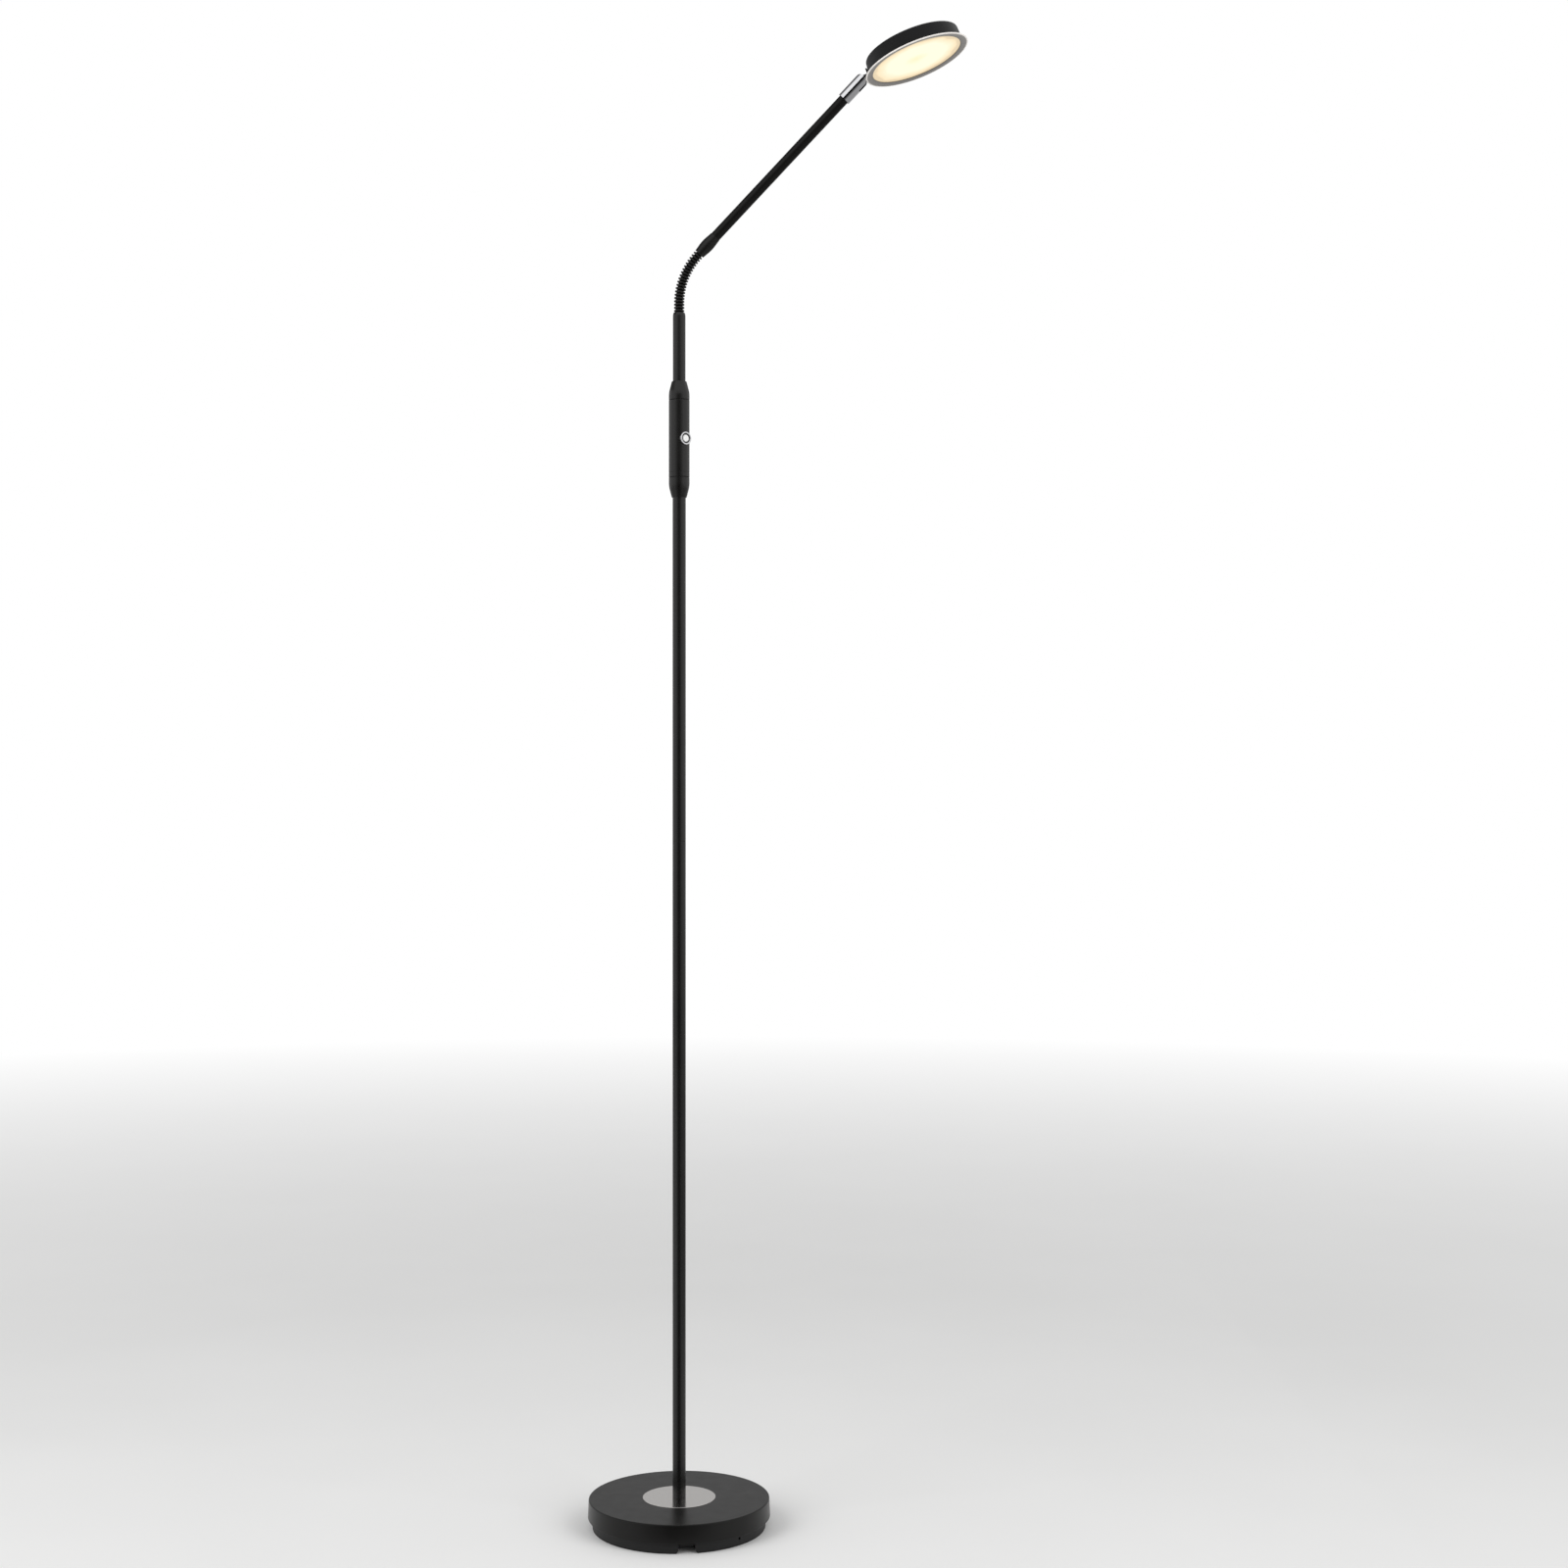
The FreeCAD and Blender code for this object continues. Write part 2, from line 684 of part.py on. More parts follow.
bezel_corners = [
    ("cap_flange_radius + cap_clearance", "0"),
    ("bezel_radius", "0"),
    ("bezel_radius", "bezel_length"),
    ("cap_radius + cap_clearance", "bezel_length"),
    ("cap_radius + cap_clearance", "bezel_length - bezel_front_wall"),
    ("cap_flange_radius + cap_clearance", "bezel_length - bezel_front_wall"),
]
bezel = turned("button_bezel", bezel_corners, at_button(size("bezel_front") - size("bezel_length")))
rounded(bezel, size("bezel_radius"), size("bezel_length"), "bezel_round")

cap_step = "stem_length + cap_flange_thickness"
cap_length = f"{cap_step} + cap_flange_gap + bezel_front_wall + cap_proud"
cap_corners = [
    ("0", "0"),
    ("stem_radius", "0"),
    ("stem_radius", "stem_length"),
    ("cap_flange_radius", "stem_length"),
    ("cap_flange_radius", cap_step),
    ("cap_radius", cap_step),
    ("cap_radius", cap_length),
    ("0", cap_length),
]
flange_front = size("bezel_front") - size("bezel_front_wall") - size("cap_flange_gap")
stem_end = flange_front - size("cap_flange_thickness") - size("stem_length")
cap = turned("button_cap", cap_corners, at_button(stem_end))
cap_height = size("bezel_front") + size("cap_proud") - stem_end
rounded(cap, size("cap_radius"), cap_height, "cap_round")

tact_back = stem_end + size("stem_in_tact") - size("tact_height")
tact = new_body("tact_switch", at_button(tact_back))
tact_sketch = new_sketch(tact)
half_tact = "tact_side / 2"
rectangle(tact_sketch, f"-({half_tact})", half_tact, f"-({half_tact})", half_tact)
pad(tact, tact_sketch, "tact_height")
well_sketch = new_sketch(tact, offset="tact_height")
circle(well_sketch, "stem_radius + stem_clearance")
pocket(tact, well_sketch, "tact_well_depth")

board = new_body("dimmer_board", at_button(tact_back - size("board_thickness")))
board_sketch = new_sketch(board)
half_width, half_length = f"{housing_bore} - board_side_gap", "board_length / 2"
rectangle(board_sketch, f"-({half_width})", half_width, f"-({half_length})", half_length)
pad(board, board_sketch, "board_thickness")
choke_sketch = new_sketch(board, offset="board_thickness")
circle(choke_sketch, "choke_radius", "0", "board_part_spacing")
pad(board, choke_sketch, "choke_height")
chip_sketch = new_sketch(board, offset="board_thickness")
chip_low, chip_high = "-(board_part_spacing + chip_side / 2)", "-(board_part_spacing - chip_side / 2)"
rectangle(chip_sketch, "-(chip_side / 2)", "chip_side / 2", chip_low, chip_high)
pad(board, chip_sketch, "chip_height")

# ---------------------------------------------------------------- upper tube and bending neck

tube_bore = "upper_tube_radius - upper_tube_wall"
tube_length = "upper_tube_in_cone + upper_tube_showing"
tube_foot = housing_top + size("upper_cone_length") - size("upper_tube_in_cone")
tube_top = tube_foot + size("upper_tube_in_cone") + size("upper_tube_showing")
upper_tube_corners = [
    (tube_bore, "0"),
    ("upper_tube_radius", "0"),
    ("upper_tube_radius", f"{tube_length} - upper_tube_end_taper"),
    ("upper_tube_radius - upper_tube_end_draw", tube_length),
    (tube_bore, tube_length),
]
turned("upper_tube", upper_tube_corners, at_height(tube_foot))

root_corners = [
    ("ring_bore", "0"),
    (f"{tube_bore} - part_clearance", "0"),
    (f"{tube_bore} - part_clearance", "neck_plug_length"),
    *nose_profile("neck_plug_length"),
]
turned("gooseneck_root", root_corners, at_height(tube_top - size("neck_plug_length")))

# The neck stands straight for its first rings, and then each ring leans a little more than the one
# before, up to the lean of the arm. A ring turns about the middle of the nose that it rides on.
neck_rings = int(size("rings_low") + size("rings_sway") + size("rings_top"))
straight_rings = int(size("straight_rings"))
lean_step = size("arm_lean") / (neck_rings - straight_rings)
ring_end = "ring_pitch - ring_gap"
link_corners = [
    ("mouth_radius", "0"),
    ("ring_radius", "ring_bevel"),
    ("ring_radius", f"{ring_end} - ring_bevel"),
    ("nose_root_radius", ring_end),
    ("ring_bore", "ring_pitch + ring_front + nose_reach"),
    ("ring_bore", "mouth_depth"),
]


def leaning(pivot, lean, reach):
    """A place on a line that leaves a pivot at a lean from upright, towards +X."""
    turn = Rotation(Vector(0, 1, 0), lean)
    return Placement(pivot + turn.multVec(Vector(0, 0, reach)), turn)


pivot = Vector(0, 0, tube_top + size("ring_gap") + size("ring_front"))
for number in range(1, neck_rings + 1):
    lean = max(0, number - straight_rings) * lean_step
    turned(f"gooseneck_link_{number:02d}", link_corners, leaning(pivot, lean, -size("ring_front")))
    pivot = leaning(pivot, lean, size("ring_pitch")).Base

# ---------------------------------------------------------------- arm and its knuckle

arm_lean = size("arm_lean")
ferrule_corners = [
    ("mouth_radius", "0"),
    ("ferrule_front_radius", "0"),
    ("ferrule_crest_radius", "ferrule_crest_place"),
    ("ferrule_end_radius", "ferrule_length"),
    ("arm_radius + tube_clearance", "ferrule_length"),
    ("arm_radius + tube_clearance", "ferrule_length - arm_in_ferrule"),
    ("ring_bore", "ferrule_length - arm_in_ferrule"),
    ("ring_bore", "mouth_depth"),
]
ferrule = turned("gooseneck_ferrule", ferrule_corners, leaning(pivot, arm_lean, -size("ring_front")))
rounded(ferrule, size("ferrule_crest_radius"), size("ferrule_crest_place"), "ferrule_round")

arm_foot = size("ferrule_length") - size("ring_front") - size("arm_in_ferrule")
arm_length = "arm_in_ferrule + arm_showing"
arm_bore = "arm_radius - arm_wall"
arm_corners = [(arm_bore, "0"), ("arm_radius", "0"), ("arm_radius", arm_length), (arm_bore, arm_length)]
turned("arm_tube", arm_corners, leaning(pivot, arm_lean, arm_foot))

arm_end = arm_foot + size("arm_in_ferrule") + size("arm_showing")
pin_height = "knuckle_spigot + knuckle_to_pin"
stock_corners = [
    ("knuckle_lead_bore", "0"),
    (f"{arm_bore} - part_clearance", "0"),
    (f"{arm_bore} - part_clearance", "knuckle_spigot"),
    ("knuckle_radius", "knuckle_spigot"),
    ("knuckle_radius", f"{pin_height} + knuckle_radius"),
    ("knuckle_lead_bore", f"{pin_height} + knuckle_radius"),
]
stock = turned("knuckle_stock", stock_corners)
nodes.remove(stock)
half_slot = "tongue_thickness / 2 + hinge_washer_thickness + hinge_side_play"
slot_sketch = new_sketch(stock, "YZ_Plane")
slot_floor = f"{pin_height} - slot_behind_pin"
rectangle(slot_sketch, f"-({half_slot})", half_slot, slot_floor, f"{pin_height} + knuckle_radius * 2")
pocket(stock, slot_sketch, both_ways=True)
bore_sketch = new_sketch(stock, "XZ_Plane", "knuckle_radius - hinge_blind_wall")
circle(bore_sketch, "hinge_radius + hinge_clearance", "0", pin_height)
pocket(stock, bore_sketch)
head_seat = "knuckle_radius - hinge_head_sunk - hinge_head_height"
seat_sketch = new_sketch(stock, "XZ_Plane", f"-({head_seat})")
circle(seat_sketch, "hinge_head_radius + part_clearance", "0", pin_height)
pocket(stock, seat_sketch)

# The fork's end is round about the pin, so that the head's tongue can swing past it.
end_round = doc.addObject("Part::Cylinder", "knuckle_end")
bind(end_round, "Radius", "knuckle_radius")
bind(end_round, "Height", "knuckle_radius * 2")
end_round.Placement = Placement(Vector(), Rotation(Vector(1, 0, 0), 90))
bind(end_round, "Placement.Base.y", "knuckle_radius")
bind(end_round, "Placement.Base.z", pin_height)
shank_block = doc.addObject("Part::Cylinder", "knuckle_shank")
bind(shank_block, "Radius", "knuckle_radius")
bind(shank_block, "Height", pin_height)
envelope = doc.addObject("Part::Fuse", "knuckle_envelope")
envelope.Base = end_round
envelope.Tool = shank_block
fork = doc.addObject("Part::Common", "knuckle_fork")
fork.Base = stock
fork.Tool = envelope
keep(fork, "knuckle_fork", leaning(pivot, arm_lean, arm_end - size("knuckle_spigot")))

hinge = leaning(pivot, arm_lean, arm_end + size("knuckle_to_pin")).Base
across = Rotation(Vector(1, 0, 0), -90)
shank_length = f"{head_seat} + knuckle_radius - hinge_blind_wall - hinge_tip_gap"
hinge_screw_corners = [
    ("0", "0"),
    ("hinge_radius", "0"),
    ("hinge_radius", shank_length),
    ("hinge_head_radius", shank_length),
    ("hinge_head_radius", f"{shank_length} + hinge_head_height"),
    ("0", f"{shank_length} + hinge_head_height"),
]
screw_tip = size("knuckle_radius") - size("hinge_blind_wall") - size("hinge_tip_gap")
turned("hinge_screw", hinge_screw_corners, Placement(hinge - Vector(0, screw_tip, 0), across))

washer_low = "tongue_thickness / 2 + hinge_side_play"
washer_corners = [
    ("hinge_radius + hinge_clearance", washer_low),
    ("hinge_washer_radius", washer_low),
    ("hinge_washer_radius", half_slot),
    ("hinge_radius + hinge_clearance", half_slot),
]
washers = turned("hinge_washers", washer_corners, Placement(hinge, across))
other_washer = washers.newObject("PartDesign::Mirrored", "other_washer")
other_washer.Originals = [washers.Tip]
other_washer.MirrorPlane = (origin_plane(washers, "XY_Plane"), [""])
washers.Tip = other_washer

# ---------------------------------------------------------------- lamp head

# The head's own frame has its origin in the middle of the rim's front plane, X away from the hinge
# and Z towards the back, against the light.
tilt = Rotation(Vector(0, 1, 0), -size("head_tilt"))
pin_reach = "rim_radius + rim_pin_gap"
from_pin = Vector(size("rim_radius") + size("rim_pin_gap"), 0, -size("pin_behind_rim"))
in_head = Placement(hinge + tilt.multVec(from_pin), tilt)

drum_bore = "drum_radius - drum_wall"
collar_radius = f"{drum_bore} - drum_draft * rim_collar_height / drum_back - part_clearance"
collar_bore = f"{collar_radius} - rim_collar_wall"
lip_top = "rim_lip_height + rim_lip_thickness"
rim_corners = [
    ("rim_radius - rim_edge_draw", "0"),
    ("rim_radius", "rim_edge_front"),
    ("rim_radius", "rim_flange - rim_edge_back"),
    ("rim_radius - rim_edge_back", "rim_flange"),
    (collar_radius, "rim_flange"),
    (collar_radius, "rim_collar_height"),
    (collar_bore, "rim_collar_height"),
    (collar_bore, lip_top),
    ("rim_lip_radius", lip_top),
    ("rim_lip_radius", "rim_lip_height"),
]
turned("rim_ring", rim_corners, in_head)

plate_back = "led_plate_height + led_plate_thickness"
drum_inside = "drum_back - drum_back_thickness"
drum_corners = [
    (drum_bore, "rim_flange"),
    ("drum_radius", "rim_flange"),
    ("drum_radius - drum_draft", "drum_back"),
    ("0", "drum_back"),
    ("0", drum_inside),
    (f"{drum_bore} - drum_draft", drum_inside),
]
drum = turned("head_drum", drum_corners, in_head)
rounded(drum, size("drum_radius") - size("drum_draft"), size("drum_back"), "drum_round")
boss_sketch = new_sketch(drum, offset=plate_back)
circle(boss_sketch, "boss_radius", "boss_ring")
boss = pad(drum, boss_sketch, f"{drum_inside} - ({plate_back})")
boss_hole_sketch = new_sketch(drum, offset=plate_back)
circle(boss_hole_sketch, "small_screw_radius + thread_clearance", "boss_ring")
boss_hole = pocket(drum, boss_hole_sketch, f"drum_back - boss_skin - ({plate_back})", backwards=True)
copies_round(drum, [boss, boss_hole], "boss_count")
bracket_bolt = ("bracket_screw_spacing / 2", "rim_collar_height + small_screw_head_radius + bracket_lift")
bolt_left = (f"-({bracket_bolt[0]})", bracket_bolt[1])
hole_sketch = new_sketch(drum, "YZ_Plane")
for spot in (bracket_bolt, bolt_left):
    circle(hole_sketch, "small_screw_radius + small_screw_clearance", *spot)
pocket(drum, hole_sketch)

diffuser = new_body("diffuser", in_head)
diffuser_sketch = new_sketch(diffuser, offset=f"{lip_top} + seat_gap")
circle(diffuser_sketch, f"{collar_bore} - part_clearance")
pad(diffuser, diffuser_sketch, "diffuser_thickness")

reflector_low = f"{lip_top} + seat_gap * 2 + diffuser_thickness"
reflector_high = "led_plate_height - seat_gap"
reflector_corners = [
    (f"{collar_bore} - part_clearance - reflector_wall", reflector_low),
    (f"{collar_bore} - part_clearance", reflector_low),
    (f"{collar_bore} - part_clearance - reflector_draw", reflector_high),
    (f"{collar_bore} - part_clearance - reflector_draw - reflector_wall", reflector_high),
]
turned("reflector", reflector_corners, in_head)

led_plate = new_body("led_plate", in_head)
led_plate_sketch = new_sketch(led_plate, offset="led_plate_height")
circle(led_plate_sketch, "led_plate_radius")
circle(led_plate_sketch, "led_plate_lead_hole")
pad(led_plate, led_plate_sketch, "led_plate_thickness")
hole_sketch = new_sketch(led_plate, offset="led_plate_height")
circle(hole_sketch, "small_screw_radius + small_screw_clearance", "boss_ring")
copies_round(led_plate, [pocket(led_plate, hole_sketch, backwards=True)], "boss_count")

chips = new_body("led_chips", in_head)
for ring, count in (("led_inner_ring", "led_inner_count"), ("led_outer_ring", "led_outer_count")):
    chip_sketch = new_sketch(chips, offset="led_plate_height - led_height")
    near, far = f"{ring} - led_width / 2", f"{ring} + led_width / 2"
    rectangle(chip_sketch, near, far, "-(led_length / 2)", "led_length / 2")
    copies_round(chips, [pad(chips, chip_sketch, "led_height")], count)

plate_screws = new_body("plate_screws", in_head)
head_sketch = new_sketch(plate_screws, offset="led_plate_height - small_screw_head_height")
circle(head_sketch, "small_screw_head_radius", "boss_ring")
head = pad(plate_screws, head_sketch, "small_screw_head_height")
shank_sketch = new_sketch(plate_screws, offset="led_plate_height")
circle(shank_sketch, "small_screw_radius", "boss_ring")
shank = pad(plate_screws, shank_sketch, "drum_back - boss_skin - led_plate_height - plate_screw_spare")
copies_round(plate_screws, [head, shank], "boss_count")

bracket = new_body("head_bracket", in_head)
boss_sketch = new_sketch(bracket, "XZ_Plane")
circle(boss_sketch, "tongue_boss_radius", f"-({pin_reach})", "pin_behind_rim")
pad(bracket, boss_sketch, "tongue_thickness", both_ways=True)
bar_sketch = new_sketch(bracket, "XZ_Plane")
bracket_low = "rim_flange + bracket_lift"
bar_high = "pin_behind_rim + tongue_boss_radius"
rectangle(bar_sketch, f"-({pin_reach})", "-(drum_radius)", bracket_low, bar_high)
pad(bracket, bar_sketch, "tongue_thickness", both_ways=True)
foot_sketch = new_sketch(bracket, "XZ_Plane")
foot_near, foot_far = "-(drum_radius + bracket_foot_depth)", "-(drum_radius - bracket_foot_depth)"
rectangle(foot_sketch, foot_near, foot_far, bracket_low, f"{bracket_low} + bracket_foot_height")
pad(bracket, foot_sketch, "bracket_foot_width", both_ways=True)
seat_sketch = new_sketch(bracket)
circle(seat_sketch, "drum_radius + part_clearance")
pocket(bracket, seat_sketch, backwards=True)
pin_sketch = new_sketch(bracket, "XZ_Plane")
circle(pin_sketch, "hinge_radius + hinge_clearance", f"-({pin_reach})", "pin_behind_rim")
pocket(bracket, pin_sketch, both_ways=True)
tapped_sketch = new_sketch(bracket, "YZ_Plane", "-(drum_radius + bracket_foot_depth - bracket_screw_skin)")
for spot in (bracket_bolt, bolt_left):
    circle(tapped_sketch, "small_screw_radius + thread_clearance", *spot)
pocket(bracket, tapped_sketch, backwards=True)

bolt_reach = "bracket_screw_spacing / 2 + small_screw_head_radius"
bolt_seat = f"sqrt(({drum_bore} - drum_draft)^2 - ({bolt_reach})^2)"
bolts = new_body("bracket_screws", in_head)
head_sketch = new_sketch(bolts, "YZ_Plane", f"-({bolt_seat})")
shank_sketch = new_sketch(bolts, "YZ_Plane", f"-({bolt_seat})")
for spot in (bracket_bolt, bolt_left):
    circle(head_sketch, "small_screw_head_radius", *spot)
    circle(shank_sketch, "small_screw_radius", *spot)
pad(bolts, head_sketch, "bracket_screw_head_height")
bolt_length = f"drum_radius + bracket_foot_depth - bracket_screw_skin - seat_gap - {bolt_seat}"
pad(bolts, shank_sketch, bolt_length, backwards=True)

# ---------------------------------------------------------------- checks and files

doc.recompute()
for thing in doc.Objects:
    if "Invalid" in thing.State or "Error" in thing.State:
        raise RuntimeError(f"{thing.Label} did not build: {thing.State}")
for node in nodes:
    if node.Shape.isNull() or not node.Shape.isValid() or not node.Shape.Solids:
        raise RuntimeError(f"{node.Label} has no sound solid")
for node in nodes:
    node.Shape.exportStep(f"parts/{node.Label}.step")
print(f"{len(nodes)} pieces, {sum(len(node.Shape.Solids) for node in nodes)} solids")
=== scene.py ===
"""Finished surfaces, materials and studio of a gooseneck reading floor lamp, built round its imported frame.

Every turned piece is one surface: an outline of (radius, height) corners, each corner eased by a curve, carried
round the piece's axis and then leaned and moved to its place in the lamp. Sizes are in metres.
"""

import json

import bmesh
import bpy
import numpy as np
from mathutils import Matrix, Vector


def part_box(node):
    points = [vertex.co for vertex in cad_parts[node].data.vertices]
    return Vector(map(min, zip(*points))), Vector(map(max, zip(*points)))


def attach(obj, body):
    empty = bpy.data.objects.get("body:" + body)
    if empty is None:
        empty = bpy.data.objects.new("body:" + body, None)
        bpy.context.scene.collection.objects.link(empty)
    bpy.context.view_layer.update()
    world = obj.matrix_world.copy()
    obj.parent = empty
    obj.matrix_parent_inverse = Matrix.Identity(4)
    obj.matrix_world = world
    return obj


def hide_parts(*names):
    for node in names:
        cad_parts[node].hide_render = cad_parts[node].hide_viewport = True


bl_info = {
    "name": "Gooseneck reading lamp",
    "version": (1, 0, 0),
    "blender": (4, 5, 0),
    "location": "View3D > Sidebar > Reading lamp",
    "description": "Builds the finished surfaces, materials and studio of a gooseneck reading floor lamp",
    "category": "Add Mesh",
}

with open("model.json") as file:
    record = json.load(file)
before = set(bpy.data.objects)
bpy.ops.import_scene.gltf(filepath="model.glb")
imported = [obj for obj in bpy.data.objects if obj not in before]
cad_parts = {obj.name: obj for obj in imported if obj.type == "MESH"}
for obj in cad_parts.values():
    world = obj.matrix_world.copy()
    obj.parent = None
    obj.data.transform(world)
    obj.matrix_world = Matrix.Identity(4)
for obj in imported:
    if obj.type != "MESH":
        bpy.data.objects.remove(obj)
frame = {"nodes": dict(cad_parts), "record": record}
SLOTS = {part["node"]: part["material_slot"] for part in frame["record"]["subparts"]}


def lowest(node):
    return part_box(node)[0]


def highest(node):
    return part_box(node)[1]


# ---------------------------------------------------------------- sizes and colours


def number(name, description, default, **kind):
    return bpy.props.FloatProperty(name=name, description=description, default=default, **kind)


def length(name, description, default):
    return number(name, description, default, min=0.0, unit="LENGTH", precision=5)


def angle(name, description, degrees):
    return number(name, description, float(np.radians(degrees)), unit="ROTATION")


def count(name, description, default):
    return bpy.props.IntProperty(name=name, description=description, default=default)


def colour(name, description, default):
    return bpy.props.FloatVectorProperty(
        name=name, description=description, default=default, size=3, min=0.0, max=1.0, subtype="COLOR"
    )


class LampSizes(bpy.types.PropertyGroup):
    """Sizes of the turned pieces."""

    cover_radius: length("Base cover radius", "Outer radius of the pressed cover at its foot", highest("base_cover").x)
    cover_draft: length("Base cover draft", "How much narrower the cover is at its top", 0.0008)
    cover_wall: length("Base cover wall", "Thickness of the cover's side wall", 0.0025)
    cover_edge: length("Base cover edge", "How far the cover's top edge is eased", 0.0014)
    disc_seat: length("Disc seat radius", "Radius of the recess that the steel disc lies in", 0.04015)
    disc_seat_depth: length("Disc seat depth", "Depth of that recess", 0.0008)
    disc_radius: length("Steel disc radius", "Radius of the steel disc round the pole's foot", highest("base_disc").x)
    disc_edge: length("Steel disc edge", "How far the disc's edge is eased", 0.0003)
    stud_hole: length("Stud hole radius", "Radius of the hole for the stud", 0.0053)
    lead_gap: length("Lead gap", "Width of the gap in the foot ring that the lead passes", 0.0178)
    lead_gap_turn: angle("Lead gap turn", "Direction of that gap, from the arm's side", -71.5)
    window_side: length("Window", "Side of the small window in the foot ring", 0.0027)
    window_turn: angle("Window turn", "Direction of that window, from the arm's side", -33.6)
    pole_radius: length("Pole radius", "Outer radius of the pole", highest("pole_lower").x)
    pole_wall: length("Pole wall", "Wall thickness of the pole", 0.001)
    pole_edge: length("Pole edge", "How far each length of pole is eased at its ends", 0.0003)
    cone_end_radius: length("Cone end radius", "Radius of a housing cone where it meets the tube", 0.0082)
    cone_slope: length("Cone slope", "Length of a housing cone's slope", 0.0122)
    cone_shoulder: length("Cone shoulder", "How far the cone's shoulder is eased", 0.005)
    housing_radius: length("Housing radius", "Outer radius of the switch housing", 0.01135)
    housing_wall: length("Housing wall", "Wall thickness of the switch housing", 0.0015)
    housing_edge: length("Housing edge", "Depth of the fine line where the housing meets its cones", 0.00045)
    housing_line_height: length("Turned line height", "Height of the fine turned line above the housing's foot", 0.005)
    housing_line_depth: length("Turned line depth", "Depth of that line", 0.0003)
    button_height: length("Button height", "Height of the button's axis above the floor", 1.195)
    bezel_radius: length("Bezel radius", "Outer radius of the chrome bezel", 0.0072)
    bezel_front: length("Bezel front", "How far the bezel's front is from the pole's axis", 0.0127)
    cap_radius: length("Cap radius", "Radius of the white cap", 0.004)
    cap_front: length("Cap front", "How far the cap's crown is from the pole's axis", 0.0132)
    cap_round: length("Cap round", "How far the cap's crown is eased", 0.0022)
    tube_radius: length("Upper tube radius", "Outer radius of the tube above the housing", highest("upper_tube").x)
    tube_end_radius: length("Upper tube end radius", "Radius that the tube is drawn in to at its top", 0.00623)
    tube_taper: length("Upper tube taper", "Length of the drawn-in end", 0.0026)
    ring_pitch: length("Ring pitch", "Distance from one ring of the neck to the next", 0.00345)
    ring_radius: length("Ring radius", "Outer radius of a ring", 0.0058)
    ring_mouth: length("Ring mouth", "Radius of a ring's mouth", 0.0046)
    ring_bore: length("Ring bore", "Radius of the hole through a ring", 0.0026)
    ring_land: length("Ring land", "Width of a ring from its mouth to the root of its nose", 0.00245)
    ring_bevel: length("Ring bevel", "Width of the slope at each side of a ring", 0.0006)
    nose_root: length("Nose root", "Radius of a ring's nose at its root", 0.0041)
    nose_length: length("Nose length", "Length of a ring with its nose", 0.0047)
    ring_front: length("Ring front", "How far a ring reaches forward of the point that it turns about", 0.00075)
    neck_foot: length("Neck foot", "Height of the point that the first ring turns about", 1.33575)
    sleeve_length: length("Sleeve length", "Length of the black sleeve between neck and arm", 0.02575)
    sleeve_front_radius: length("Sleeve front radius", "Radius of the sleeve at the neck", 0.00575)
    sleeve_crest_radius: length("Sleeve crest radius", "Radius of the sleeve where it is widest", 0.00745)
    sleeve_crest: length("Sleeve crest", "Where the sleeve is widest, from the neck", 0.0125)
    sleeve_end_radius: length("Sleeve end radius", "Radius of the sleeve at the arm", 0.006)
    arm_radius: length("Arm radius", "Outer radius of the arm", 0.0057)
    arm_in_sleeve: length("Arm in sleeve", "How far the arm reaches into the sleeve", 0.013)
    arm_showing: length("Arm showing", "Length of arm between sleeve and knuckle", 0.2019)
    knuckle_to_pin: length("Knuckle to pin", "From the knuckle's lower face to the hinge's axis", 0.0248)
    knuckle_edge: length("Knuckle edge", "Width of the bevel on the knuckle's edges", 0.00025)
    pin_reach: length("Pin reach", "From the hinge's axis to the middle of the head, in the plane of the rim", 0.06545)
    pin_behind_rim: length("Pin behind rim", "How far the hinge's axis lies behind the rim's front plane", 0.0028)
    rim_radius: length("Rim radius", "Outer radius of the silver rim", 0.0583)
    rim_edge: length("Rim edge", "Thickness of the rim at its edge", 0.0014)
    rim_seat: length("Rim seat", "Height of the rim's back where the drum meets it", 0.003)
    rim_lip: length("Rim lip radius", "Radius of the rim's opening", 0.05)
    rim_lip_height: length("Rim lip height", "How far the bevel sinks from the rim's edge to its opening", 0.001)
    drum_radius: length("Drum radius", "Outer radius of the drum at the rim", 0.0532)
    drum_back: length("Drum back", "From the rim's front plane to the back of the drum", 0.0184)
    drum_draft: length("Drum draft", "How much narrower the drum is at its back", 0.0008)
    drum_edge: length("Drum edge", "How far the drum's back edge is eased", 0.0026)
    diffuser_radius: length("Diffuser radius", "Radius of the opal diffuser", 0.0506)
    diffuser_thickness: length("Diffuser thickness", "Thickness of the opal diffuser", 0.0018)
    arm_lean: angle("Arm lean", "Lean of the arm from upright", 45.0)
    head_tilt: angle("Head tilt", "Tilt of the head from level", 20.0)
    solid_tilt: angle("Solid head tilt", "Tilt of the packed solid head from level", 23.4)
    solid_reach: length("Solid head reach", "From the hinge's axis to that head's middle, in its rim's plane", 0.0666)
    solid_behind: length("Solid head behind", "How far the hinge's axis lies behind that rim's front plane", 0.005)
    boss_radius: length("Boss radius", "Radius of the round end of the head's tongue", 0.0059)
    tongue_half: length("Half tongue", "Half of the tongue's thickness", 0.0021)
    foot_draw: length("Foot draw", "How much flatter the bracket's foot is than the solid head's", 0.0021)
    hinge_bore: length("Hinge bore", "Radius of the hole for the hinge screw", 0.00205)
    button_turn: angle("Button turn", "Direction that the button faces, from the arm's side", -39.0)
    straight_rings: count("Straight rings", "Rings at the neck's foot that stand upright", 3)
    rings: count("Rings", "Number of rings in the neck", 20)


